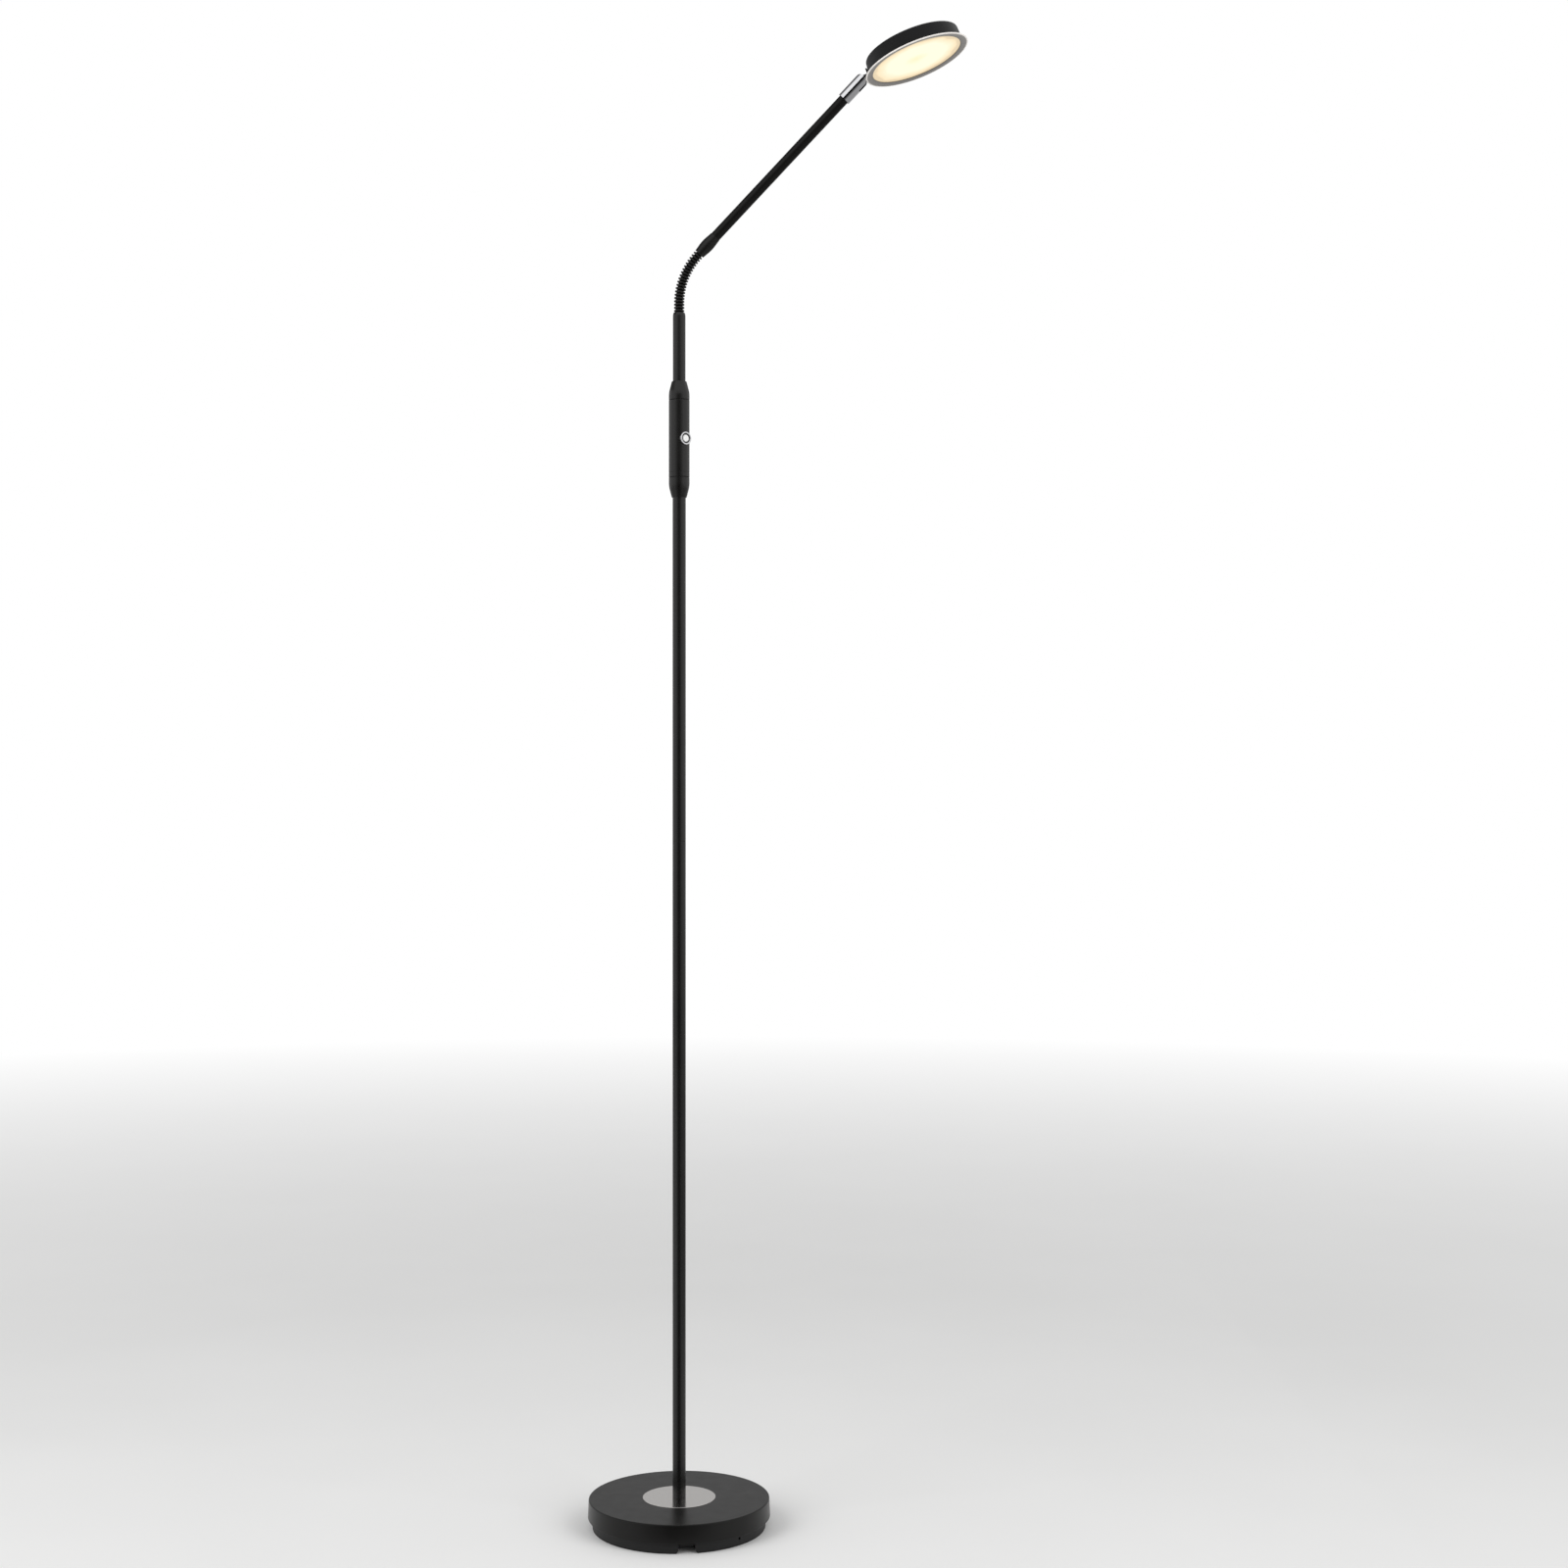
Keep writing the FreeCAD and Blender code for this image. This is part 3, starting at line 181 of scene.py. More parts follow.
class LampColours(bpy.types.PropertyGroup):
    """Colours of the finishes."""

    lacquer: colour("Lacquer", "Near-black satin lacquer on the base, pole and housing", (0.0046, 0.0043, 0.0039))
    shell: colour("Shell black", "Black of the lamp head's drum", (0.0045, 0.0045, 0.005))
    sleeve: colour("Sleeve black", "Black of the sleeve and the foot ring", (0.006, 0.0058, 0.0055))
    chrome: colour("Chrome", "Colour of the chrome plating", (0.80, 0.80, 0.82))
    steel: colour("Steel", "Colour of the polished steel disc", (0.76, 0.735, 0.715))
    rim: colour("Rim silver", "Colour of the satin silver rim", (0.64, 0.61, 0.58))
    zinc: colour("Zinc", "Colour of plated screws and nuts", (0.52, 0.52, 0.50))
    iron: colour("Iron", "Colour of the cast weight", (0.09, 0.085, 0.08))
    aluminium: colour("Aluminium", "Colour of the plate behind the light", (0.70, 0.70, 0.71))
    cap: colour("Cap white", "Colour of the button's cap", (0.86, 0.86, 0.85))
    white_plastic: colour("White plastic", "Colour of the reflector", (0.80, 0.80, 0.78))
    black_plastic: colour("Black plastic", "Colour of moulded black parts", (0.009, 0.009, 0.009))
    rubber: colour("Rubber", "Colour of the grommet", (0.018, 0.018, 0.018))
    board: colour("Board", "Colour of the circuit board", (0.015, 0.09, 0.035))
    phosphor: colour("Phosphor", "Colour of the light's chips", (0.85, 0.62, 0.12))
    opal: colour("Opal", "Colour of the unlit diffuser", (0.86, 0.85, 0.82))
    glow_middle: colour("Glow in the middle", "Light from the middle of the diffuser", (1.0, 0.91, 0.69))
    glow_heart: colour("Glow at the heart", "Light from the yellower spot at its very middle", (1.0, 0.83, 0.50))
    glow_edge: colour("Glow at the edge", "Light from the edge of the diffuser", (0.92, 0.74, 0.47))
    floor: colour("Floor", "Colour of the pale floor", (0.90, 0.90, 0.895))


class StudioSettings(bpy.types.PropertyGroup):
    """Camera and light."""

    camera_place: bpy.props.FloatVectorProperty(
        name="Camera", description="Where the camera stands", default=(0.6047, -2.5067, 0.816), size=3, unit="LENGTH"
    )
    camera_turn: angle("Camera turn", "How far the camera is turned from the lamp's own front", 11.0)
    lens: number("Lens", "Focal length of the camera", 53.775, unit="CAMERA")
    key_power: number("Key light", "Power of the soft light at the left", 34.0, unit="POWER")
    fill_power: number("Fill light", "Power of the soft light at the right", 26.0, unit="POWER")
    sky: number("Room light", "Strength of the light from all round", 0.55)


# ---------------------------------------------------------------- surfaces

LONGEST_EASING = 0.44  # the share of its shorter side that a corner's curve may take up
FLANK = 1.12  # how far out the points that flank a curve lie, in reaches of the easing


def eased_outline(corners, steps=6):
    """A closed outline run anticlockwise through (radius, height, easing) corners.

    Each corner C is replaced by the curve (1-s)^2 A + 2s(1-s) C + s^2 B, where A and B lie on its two sides at the
    easing's distance from it, and one more point a little further out on each side keeps the long sides flat.
    """
    rows = np.asarray(corners, float)
    corner, easing = rows[:, :2], rows[:, 2]
    back, on = np.roll(corner, 1, 0) - corner, np.roll(corner, -1, 0) - corner
    back_length, on_length = np.linalg.norm(back, axis=1), np.linalg.norm(on, axis=1)
    reach = np.minimum(easing, LONGEST_EASING * np.minimum(back_length, on_length))[:, None]
    first, last = back / back_length[:, None] * reach, on / on_length[:, None] * reach
    share = np.linspace(0.0, 1.0, steps)[None, :, None]
    curve = corner[:, None] + (1 - share) ** 2 * first[:, None] + share**2 * last[:, None]
    points = np.concatenate([(corner + first * FLANK)[:, None], curve, (corner + last * FLANK)[:, None]], 1)
    points = points.reshape(-1, 2)
    return points[np.linalg.norm(points - np.roll(points, 1, 0), axis=1) > 1e-8]


def turned(corners, columns=96, steps=6):
    """The eased outline carried round the axis: the point (r, z) goes to (r cos u, r sin u, z) for u all the way round.

    Where the outline lies on the axis its whole row is one point, so the pole is closed.
    """
    outline = eased_outline(corners, steps)
    rows = len(outline)
    u = np.arange(columns) * 2 * np.pi / columns
    radius, height = outline[:, :1], outline[:, 1:]
    points = np.stack([radius * np.cos(u), radius * np.sin(u), height + 0 * u], -1).reshape(-1, 3)
    index = np.arange(rows * columns).reshape(rows, columns)
    index = np.where(radius < 1e-9, index[:, :1], index)
    on = np.roll(index, -1, 1)
    quads = np.stack([index, on, np.roll(on, -1, 0), np.roll(index, -1, 0)], -1).reshape(-1, 4)
    return points, quads


def tube(bore, radius, low, high, low_edge=0.0, high_edge=0.0, **grid):
    """A plain ring or tube: the rectangle from bore to radius and from low to high, carried round the axis."""
    corners = [(bore, low, 0), (radius, low, low_edge), (radius, high, high_edge), (bore, high, 0)]
    return turned(corners, **grid)


def leaned(surface, lean, place):
    """The surface turned about the Y axis, so that its own Z leans towards +X by the angle, and then moved."""
    points, quads = surface
    c, s = np.cos(lean), np.sin(lean)
    turn = np.array([[c, 0, s], [0, 1, 0], [-s, 0, c]])
    return points @ turn.T + np.asarray(place, float), quads


def facing(surface, heading, height):
    """The surface with its own Z laid level along the heading and its own Y upright, moved up to a height."""
    points, quads = surface
    out, up = level(heading), np.array([0.0, 0.0, 1.0])
    return points @ np.array([np.cross(up, out), up, out]) + up * height, quads


def slab(outline, heading, near, far):
    """An upright outline of (across, height) points, carried out along a heading from near to far: a closed prism."""
    out = level(heading)
    side = np.array([-np.sin(heading), np.cos(heading), 0.0])
    across, height = np.asarray(outline, float).T
    face = across[:, None] * side + height[:, None] * np.array([0.0, 0.0, 1.0])
    count = len(face)
    points = np.concatenate([face + out * near, face + out * far])
    around = np.arange(count)
    walls = np.stack([around, np.roll(around, -1), np.roll(around, -1) + count, around + count], -1)
    return points, [*walls.tolist(), around[::-1].tolist(), (around + count).tolist()]


def level(heading):
    """The level direction that has the heading, counted from +X towards +Y."""
    return np.array([np.cos(heading), np.sin(heading), 0.0])


def along(lean, distance):
    """The point at a distance from the origin on a line that leans towards +X."""
    return np.array([np.sin(lean), 0.0, np.cos(lean)]) * distance


def arc(middle, radius, start, end, count, closed=False):
    """Points at middle + radius (cos u, sin u), for a count of even steps of u from start to end."""
    u = np.linspace(start, end, count, endpoint=not closed)
    return middle + radius * np.stack([np.cos(u), np.sin(u)], 1)


# ---------------------------------------------------------------- objects


def placed(name, data):
    """An object of the data, linked to the scene."""
    piece = bpy.data.objects.new(name, data)
    bpy.context.scene.collection.objects.link(piece)
    return piece


def smoothed(mesh, sharp):
    """The mesh shaded smooth, apart from its edges sharper than so many degrees."""
    mesh.shade_smooth()
    mesh.set_sharp_from_angle(angle=np.radians(sharp))


def covered(mesh, finish):
    """The mesh with the finish in place of any other."""
    mesh.materials.clear()
    mesh.materials.append(finish)


def seated(piece, body, node):
    """The piece riding on its body in place of the node that it stands for."""
    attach(piece, body)
    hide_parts(node)
    return piece


def made(name, surface, body, node, finish=None, slot=None):
    """A seated piece made of the surface, where a four-sided face that has shrunk at a pole becomes a triangle.

    Its finish is its slot's own, unless another is given.
    """
    points, quads = surface
    narrow_low, narrow_high = quads[:, 0] == quads[:, 1], quads[:, 2] == quads[:, 3]
    whole = quads[~narrow_low & ~narrow_high]
    tips = np.concatenate([quads[narrow_low & ~narrow_high][:, 1:], quads[narrow_high & ~narrow_low][:, :3]])
    used, numbers = np.unique(np.concatenate([whole.ravel(), tips.ravel()]), return_inverse=True)
    faces = numbers[: whole.size].reshape(-1, 4).tolist() + numbers[whole.size :].reshape(-1, 3).tolist()
    mesh = bpy.data.meshes.new(name)
    mesh.from_pydata(points[used].tolist(), [], faces)
    smoothed(mesh, 40)
    covered(mesh, finishes[finish or slot or SLOTS[node]])
    return seated(placed(name, mesh), body, node)


def merged_copy(name, node):
    """A copy of the node's own solid with its loose triangles joined and its flat faces whole."""
    mesh = frame["nodes"][node].data.copy()
    mesh.name = name
    shape = bmesh.new()
    shape.from_mesh(mesh)
    bmesh.ops.remove_doubles(shape, verts=shape.verts, dist=2e-6)
    bmesh.ops.dissolve_limit(shape, angle_limit=np.radians(0.2), verts=shape.verts, edges=shape.edges)
    shape.to_mesh(mesh)
    shape.free()
    for kept in ("custom_normal", "sharp_edge", "sharp_face"):
        if kept in mesh.attributes:
            mesh.attributes.remove(mesh.attributes[kept])
    smoothed(mesh, 30)
    covered(mesh, finishes[SLOTS[node]])
    return placed(name, mesh)


def bevelled(piece, width):
    """The piece with its sharp edges bevelled."""
    bevel = piece.modifiers.new("eased_edges", "BEVEL")
    bevel.width, bevel.segments, bevel.limit_method = width, 3, "ANGLE"
    bevel.angle_limit = np.radians(30)
    bevel.harden_normals = True
    return piece


def rehung(piece, start, lean, end):
    """The piece's own points turned about the start by the lean and carried from there to the end."""
    points = np.empty(len(piece.data.vertices) * 3)
    piece.data.vertices.foreach_get("co", points)
    points, _ = leaned((points.reshape(-1, 3) - start, None), lean, end)
    piece.data.vertices.foreach_set("co", points.ravel())
    piece.data.update()
    return piece


def block(name, surface):
    """A closed surface as an object of its own, without the faces and corners that have shrunk to nothing."""
    points, faces = surface
    corners = [list(dict.fromkeys(int(number) for number in face)) for face in faces]
    mesh = bpy.data.meshes.new(name)
    mesh.from_pydata(points.tolist(), [], [face for face in corners if len(face) > 2])
    return placed(name, mesh)


def bored(piece, surface, operation="DIFFERENCE"):
    """The piece with the closed surface's room taken out of it, or added to it."""
    drill = block("drill", surface)
    cut = piece.modifiers.new("bore", "BOOLEAN")
    cut.object, cut.operation, cut.solver = drill, operation, "EXACT"
    whole = piece.evaluated_get(bpy.context.evaluated_depsgraph_get())
    piece.data = bpy.data.meshes.new_from_object(whole)
    piece.modifiers.clear()
    bpy.data.objects.remove(drill)
    smoothed(piece.data, 40)
    return piece


# ---------------------------------------------------------------- finishes


class Nodes:
    """A node tree, with short names for the nodes used again and again."""

    def __init__(self, tree):
        self.tree = tree

    def add(self, kind, **settings):
        node = self.tree.nodes.new(kind)
        for key, value in settings.items():
            if key in node.inputs.keys():
                node.inputs[key].default_value = value
            else:
                setattr(node, key, value)
        return node

    def link(self, out, socket):
        self.tree.links.new(out, socket)

    def maths(self, operation, *terms, clamp=False):
        """One operation on terms that are numbers or sockets."""
        node = self.add("ShaderNodeMath", operation=operation, use_clamp=clamp)
        for term, socket in zip(terms, node.inputs):
            if isinstance(term, bpy.types.NodeSocket):
                self.link(term, socket)
            else:
                socket.default_value = term
        return node.outputs[0]

    def vector(self, operation, source, by=(0.0, 0.0, 0.0)):
        """One vector operation on the source and a fixed vector."""
        node = self.add("ShaderNodeVectorMath", operation=operation)
        self.link(source, node.inputs[0])
        node.inputs[1].default_value = tuple(by)
        return node.outputs["Value" if operation in ("LENGTH", "DOT_PRODUCT") else "Vector"]

    def spread(self, source, low, high, start=0.3, end=0.7):
        """The source's range from start to end carried to the range from low to high."""
        node = self.add("ShaderNodeMapRange")
        for key, value in (("From Min", start), ("From Max", end), ("To Min", low), ("To Max", high)):
            node.inputs[key].default_value = value
        self.link(source, node.inputs["Value"])
        return node.outputs["Result"]


class Finish(Nodes):
    """A material's nodes."""

    def __init__(self, name):
        self.material = bpy.data.materials.new(name)
        self.material.use_nodes = True
        super().__init__(self.material.node_tree)
        self.shader = self.tree.nodes["Principled BSDF"]
        self.place = self.add("ShaderNodeTexCoord").outputs["Object"]

    def set(self, **values):
        for key, value in values.items():
            self.shader.inputs[key.replace("_", " ")].default_value = value

    def shaded(self, **sources):
        """The shader's inputs linked to their sources."""
        for key, source in sources.items():
            self.link(source, self.shader.inputs[key.replace("_", " ")])

    def noise(self, scale, detail=2.0):
        """Soft noise, so many spots to a metre."""
        node = self.add("ShaderNodeTexNoise", Scale=scale, Detail=detail)
        self.link(self.place, node.inputs["Vector"])
        return node.outputs["Fac"]

    def lathe_lines(self, distance, scale, detail):
        """Fine lines, so many to a metre of the distance from an axis."""
        node = self.add("ShaderNodeTexNoise", noise_dimensions="1D", Scale=scale, Detail=detail)
        self.link(distance, node.inputs["W"])
        return node.outputs["Fac"]

    def from_axis(self, place, scale=1.0):
        """How far the place lies from its own Z axis, times the scale."""
        return self.vector("LENGTH", self.vector("MULTIPLY", place, (scale, scale, 0.0)))

    def between(self, source, first, last, start=0.3, end=0.7):
        """A colour that goes from the first to the last as the source goes from start to end."""
        node = self.add("ShaderNodeMix", data_type="RGBA")
        self.link(self.spread(source, 0.0, 1.0, start, end), node.inputs[0])
        node.inputs[6].default_value = (*first, 1.0)
        node.inputs[7].default_value = (*last, 1.0)
        return node.outputs[2]

    def ramp(self, source, stops):
        """A colour that passes each tone at its own value of the source, from (value, tone) pairs in order."""
        node = self.add("ShaderNodeValToRGB")
        elements = node.color_ramp.elements
        for number, (value, tone) in enumerate((stops[0], stops[-1])):
            elements[number].position, elements[number].color = value, (*tone, 1.0)
        for value, tone in stops[1:-1]:
            elements.new(value).color = (*tone, 1.0)
        self.link(source, node.inputs["Fac"])
        return node.outputs["Color"]

    def relief(self, source, depth):
        """The surface raised by the source, up to a depth in metres."""
        node = self.add("ShaderNodeBump", Strength=1.0, Distance=depth)
        self.link(source, node.inputs["Height"])
        self.shaded(Normal=node.outputs["Normal"])

    def blend(self, share, first, last):
        """The surface shown as the first shader, and as the last where the share is one."""
        node = self.add("ShaderNodeMixShader")
        for source, socket in zip((share, first, last), node.inputs):
            self.link(source, socket)
        self.link(node.outputs[0], self.tree.nodes["Material Output"].inputs["Surface"])


def shade(tone, share):
    return tuple(min(1.0, channel * share) for channel in tone)


def coated(name, tone, roughness, spots=60.0, grain=1400.0, depth=0.00001, vary=0.10, **more):
    """Paint, plastic or plating: a fine orange-peel relief, and a slow change of tone and gloss over the surface."""
    finish = Finish(name)
    cloud = finish.noise(spots, 3.0)
    finish.shaded(
        Base_Color=finish.between(cloud, shade(tone, 1 - vary), shade(tone, 1 + vary)),
        Roughness=finish.spread(cloud, roughness * 0.92, roughness * 1.08),
    )
    finish.relief(finish.noise(grain, 2.0), depth)
    finish.set(**more)
    return finish.material


def brushed_round(name, tone, roughness, lines=2600.0, depth=0.000004, vary=0.12):
    """Metal turned on a lathe: fine lines round the lamp's axis, worked out from the distance to it."""
    finish = Finish(name)
    line = finish.lathe_lines(finish.from_axis(finish.place), lines, 2.0)
    finish.shaded(
        Base_Color=finish.between(line, shade(tone, 1 - vary), shade(tone, 1 + vary)),
        Roughness=finish.spread(line, roughness * 0.8, roughness * 1.2),
    )
    finish.relief(line, depth)
    finish.set(Metallic=1.0)
    return finish.material


def in_head_axes(finish, middle, tilt):
    """Object coordinates moved and turned so that they start in the middle of the head, with Z towards its back."""
    turn = finish.add("ShaderNodeMapping", vector_type="TEXTURE")
    turn.inputs["Location"].default_value = tuple(middle)
    turn.inputs["Rotation"].default_value = (0.0, -tilt, 0.0)
    finish.link(finish.place, turn.inputs["Vector"])
    return turn.outputs["Vector"]


def glowing_opal(colours, middle, tilt, radius):
    """Lit opal: bright in a broad middle with a yellower heart, warmer and dimmer towards the edge.

    Soft clouds shift the distance from the middle a little, as the chips behind do.
    """
    finish = Finish("opal_diffuser")
    reach = finish.from_axis(in_head_axes(finish, middle, tilt), 1 / radius)
    wander = finish.maths("MULTIPLY_ADD", finish.noise(55.0, 1.0), 0.16, reach)
    glow = finish.ramp(
        wander,
        [
            (0.10, colours.glow_heart),
            (0.36, colours.glow_middle),
            (0.74, colours.glow_middle),
            (0.95, colours.glow_edge),
            (1.06, shade(colours.glow_edge, 0.80)),
        ],
    )
    finish.shaded(Emission_Color=glow)
    finish.relief(finish.noise(1500.0), 0.000006)
    finish.set(Base_Color=(*shade(colours.opal, 0.06), 1.0), Roughness=0.35, Emission_Strength=1.0)
    return finish.material


def chrome_with_painted_shade(colours, sizes):
    """The button's bezel: a bright ring, and painted shade on the darker step inside it, by the distance from the
    button's axis.
    """
    finish = Finish("button_chrome_painted_shade")
    from_middle = finish.vector("SUBTRACT", finish.place, (0.0, 0.0, sizes.button_height))
    reach = finish.vector("LENGTH", finish.vector("CROSS_PRODUCT", from_middle, level(sizes.button_turn)))
    step = sizes.bezel_radius - 0.0020
    # Painted shade: the step inside the bright ring is coloured near black, as the recess round the cap is shaded.
    dark, bright = shade(colours.chrome, 0.12), shade(colours.chrome, 0.8)
    finish.shaded(
        Base_Color=finish.between(reach, dark, bright, step, step + 0.0004),
        Roughness=finish.spread(finish.noise(800.0), 0.2, 0.26),
    )
    finish.set(Metallic=1.0)
    return finish.material


def rim_with_painted_light(colours, middle, tilt, lip, edge):
    """Satin silver plating with fine turned lines round the head's axis, with painted shade at the opening and a
    painted highlight at its edge.

    The outermost strip is painted pale and made nearly non-metallic, a painted highlight that shows from every side.
    """
    finish = Finish("rim_silver_painted_light")
    reach = finish.from_axis(in_head_axes(finish, middle, tilt))
    line = finish.lathe_lines(reach, 2200.0, 1.0)
    share = finish.maths("MULTIPLY", reach, 1 / edge)
    # Painted light: shade near the opening, a lighter band over the bevel, and a painted highlight at the outer edge.
    painted_light_tones = ((lip, 0.35), (lip + 0.0008, 0.5), (lip + 0.003, 0.58), (edge - 0.0018, 0.66), (edge - 0.0012, 1.5))
    finish.shaded(
        Base_Color=finish.ramp(share, [(place / edge, shade(colours.rim, tone)) for place, tone in painted_light_tones]),
        Roughness=finish.spread(line, 0.24, 0.36),
        Metallic=finish.spread(share, 0.9, 0.1, 1 - 0.0017 / edge, 1 - 0.0011 / edge),
    )
    finish.relief(line, 0.000004)
    return finish.material


finishes = {}


def mix_finishes(sizes, colours):
    """Every finish by the record's name for its slot, and three more for pieces that differ within a slot."""
    plated = {"Metallic": 1.0}
    middle = head_place(sizes)
    finishes.update(
        bronze_metal=coated("satin_lacquer", colours.lacquer, 0.27, Specular_IOR_Level=0.42),
        cover=coated("cover_lacquer", colours.lacquer, 0.32, Specular_IOR_Level=0.24),
        arm=coated("arm_lacquer", colours.lacquer, 0.36, Specular_IOR_Level=0.2),
        bright_steel=brushed_round("polished_steel", colours.steel, 0.16),
        chrome=coated("chrome_plating", colours.chrome, 0.07, 90.0, 700.0, 0.000002, 0.02, **plated),
        iron=coated("cast_iron", colours.iron, 0.62, 180.0, 900.0, 0.00015, 0.25, Metallic=0.6),
        black_plastic=coated(
            "moulded_black", colours.black_plastic, 0.5, grain=2200.0, depth=0.00002, Specular_IOR_Level=0.3
        ),
        rubber=coated("grommet_rubber", colours.rubber, 0.75, grain=1800.0, depth=0.00003, vary=0.15),
        screw_steel=coated("zinc_plating", colours.zinc, 0.3, 250.0, 2500.0, vary=0.12, **plated),
        white_cap=coated("glossy_white_cap", colours.cap, 0.12, 300.0, depth=0.000003, vary=0.02, Coat_Weight=0.5),
        board=coated("solder_resist", colours.board, 0.35, 400.0, 900.0, 0.00003, 0.3),
        black_sleeve=coated("sleeve_black", colours.sleeve, 0.34, 90.0, depth=0.000012, Specular_IOR_Level=0.34),
        washer_plastic=coated("washer_plastic", colours.black_plastic, 0.45, grain=2200.0),
        # The rim's finish holds painted shade at its opening and a painted highlight at its edge.
        silver_rim=rim_with_painted_light(colours, middle, sizes.head_tilt, sizes.rim_lip, sizes.rim_radius),
        black_shell=coated("drum_black", colours.shell, 0.42, 45.0, depth=0.000012, Specular_IOR_Level=0.2),
        aluminium_plate=coated("rolled_aluminium", colours.aluminium, 0.35, 200.0, 1600.0, **plated),
        led=coated("chip_phosphor", colours.phosphor, 0.5, 900.0, 4000.0),
        white_plastic=coated("reflector_white", colours.white_plastic, 0.45, 120.0, vary=0.03),
        bezel=chrome_with_painted_shade(colours, sizes),
        opal=glowing_opal(colours, middle, sizes.head_tilt, sizes.diffuser_radius),
    )


# ---------------------------------------------------------------- places along the neck and arm


def ring_leans(sizes):
    """The lean of each ring: none for the straight ones, and then an even step more for each, up to the arm's lean."""
    number = np.arange(1, sizes.rings + 1)
    return np.maximum(0, number - sizes.straight_rings) * sizes.arm_lean / (sizes.rings - sizes.straight_rings)


def neck_points(sizes):
    """The points that the rings turn about: from the neck's foot, one pitch further along each ring's lean."""
    leans = ring_leans(sizes)
    steps = np.stack([np.sin(leans), 0 * leans, np.cos(leans)], 1) * sizes.ring_pitch
    return np.concatenate([np.zeros((1, 3)), np.cumsum(steps, 0)]) + np.array([0.0, 0.0, sizes.neck_foot])


def from_hinge(sizes, tilt, reach, back):
    """The middle of a rim's front plane, reached along the neck's rings, the arm and the hinge."""
    arm = sizes.sleeve_length - sizes.ring_front + sizes.arm_showing + sizes.knuckle_to_pin
    hinge = neck_points(sizes)[-1] + along(sizes.arm_lean, arm)
    across = np.array([np.cos(tilt), 0.0, np.sin(tilt)])
    behind = np.array([-np.sin(tilt), 0.0, np.cos(tilt)])
    return hinge + across * reach - behind * back


def head_place(sizes):
    """The middle of the finished rim's front plane."""
    return from_hinge(sizes, sizes.head_tilt, sizes.pin_reach, sizes.pin_behind_rim)


# ---------------------------------------------------------------- the lamp's pieces


PLAY = 0.0001  # the play between pieces that slide into each other
FINE = 0.0001  # the easing of an edge that is broken only just enough to show
MOUTH_DEPTH = 0.002  # how far the cone in a ring's mouth reaches in, down to its bore
INSIDE_HEAD = ("led_plate", "led_chips", "reflector", "plate_screws", "bracket_screws")


class Maker(bpy.types.Operator):
    """Builds one group of the lamp's pieces"""

    bl_options = {"REGISTER", "UNDO"}

    def execute(self, context):
        self.make(context.scene.lamp_sizes, context.scene.lamp_colours)
        return {"FINISHED"}


class LAMP_OT_finishes(Maker):
    """Mix every finish, and give the pieces that keep their own solid their finish"""

    bl_idname = "lamp.finishes"
    bl_label = "Finishes"

    def make(self, sizes, colours):
        mix_finishes(sizes, colours)
        for node, slot in SLOTS.items():
            covered(frame["nodes"][node].data, finishes[slot])


class LAMP_OT_base(Maker):
    """Make the pressed base cover, the steel disc and the black foot ring"""

    bl_idname = "lamp.base"
    bl_label = "Base"

    def make(self, sizes, colours):
        low, high = lowest("base_cover").z, highest("base_cover").z
        top_thickness = 0.0021
        inside, seat = high - top_thickness, high - sizes.disc_seat_depth
        top_radius = sizes.cover_radius - sizes.cover_draft
        cover = turned(
            [
                (sizes.cover_radius - sizes.cover_wall, low, 0.0003),
                (sizes.cover_radius, low, 0.0006),
                (top_radius, high, sizes.cover_edge),
                (sizes.disc_seat, high, 0.00025),
                (sizes.disc_seat, seat, 0.0001),
                (sizes.stud_hole, seat, 0),
                (sizes.stud_hole, inside, 0),
                (top_radius - sizes.cover_wall, inside, 0.001),
            ],
            columns=240,
        )
        made("pressed_base_cover", cover, "stand", "base_cover", finish="cover")
        low, high = lowest("base_disc").z, highest("base_disc").z
        disc = tube(sizes.stud_hole, sizes.disc_radius, low, high, FINE, sizes.disc_edge, columns=180)
        made("polished_foot_disc", disc, "stand", "base_disc")
        self.make_foot_ring(sizes)

    def make_foot_ring(self, sizes):
        """The ring with its flange, cut through by the lead's gap, which flares towards the floor, and the window."""
        outer, top = highest("base_foot_ring").x, highest("base_foot_ring").z
        thickness, opening = 0.003, 0.08
        wall, flange = outer - thickness, top - thickness
        ring = turned(
            [
                (wall, 0, 0.0005),
                (outer, 0, 0.001),
                (outer, top, 0.0003),
                (opening, top, 0.0002),
                (opening, flange, 0.0002),
                (wall, flange, 0.0003),
            ],
            columns=240,
            steps=4,
        )
        ring = made("black_foot_ring", ring, "stand", "base_foot_ring")
        half, past = sizes.lead_gap / 2, 0.001
        flare = ((0.0034, -past), (0.0016, 0.0012), (0.0006, 0.0035), (0.0, 0.007), (0.0, top + past))
        gap = [(half + more, height) for more, height in flare]
        gap += [(-across, height) for across, height in reversed(gap)]
        behind_gap, behind_window, outside = 0.084, 0.089, 0.1
        bored(ring, slab(gap, sizes.lead_gap_turn, behind_gap, outside))
        side, low = sizes.window_side / 2, flange - sizes.window_side
        window = [(side, low), (side, flange), (-side, flange), (-side, low)]
        bored(ring, slab(window, sizes.window_turn, behind_window, outside))


class LAMP_OT_pole(Maker):
    """Make the three lengths of pole, each eased at its ends so that the seams show as fine lines"""

    bl_idname = "lamp.pole"
    bl_label = "Pole"

    def make(self, sizes, colours):
        radius, edge = sizes.pole_radius, sizes.pole_edge
        for name in ("lower", "middle", "upper"):
            node = f"pole_{name}"
            pole = tube(radius - sizes.pole_wall, radius, lowest(node).z, highest(node).z, edge, edge)
            made(f"{name}_pole_tube", pole, "stand", node)


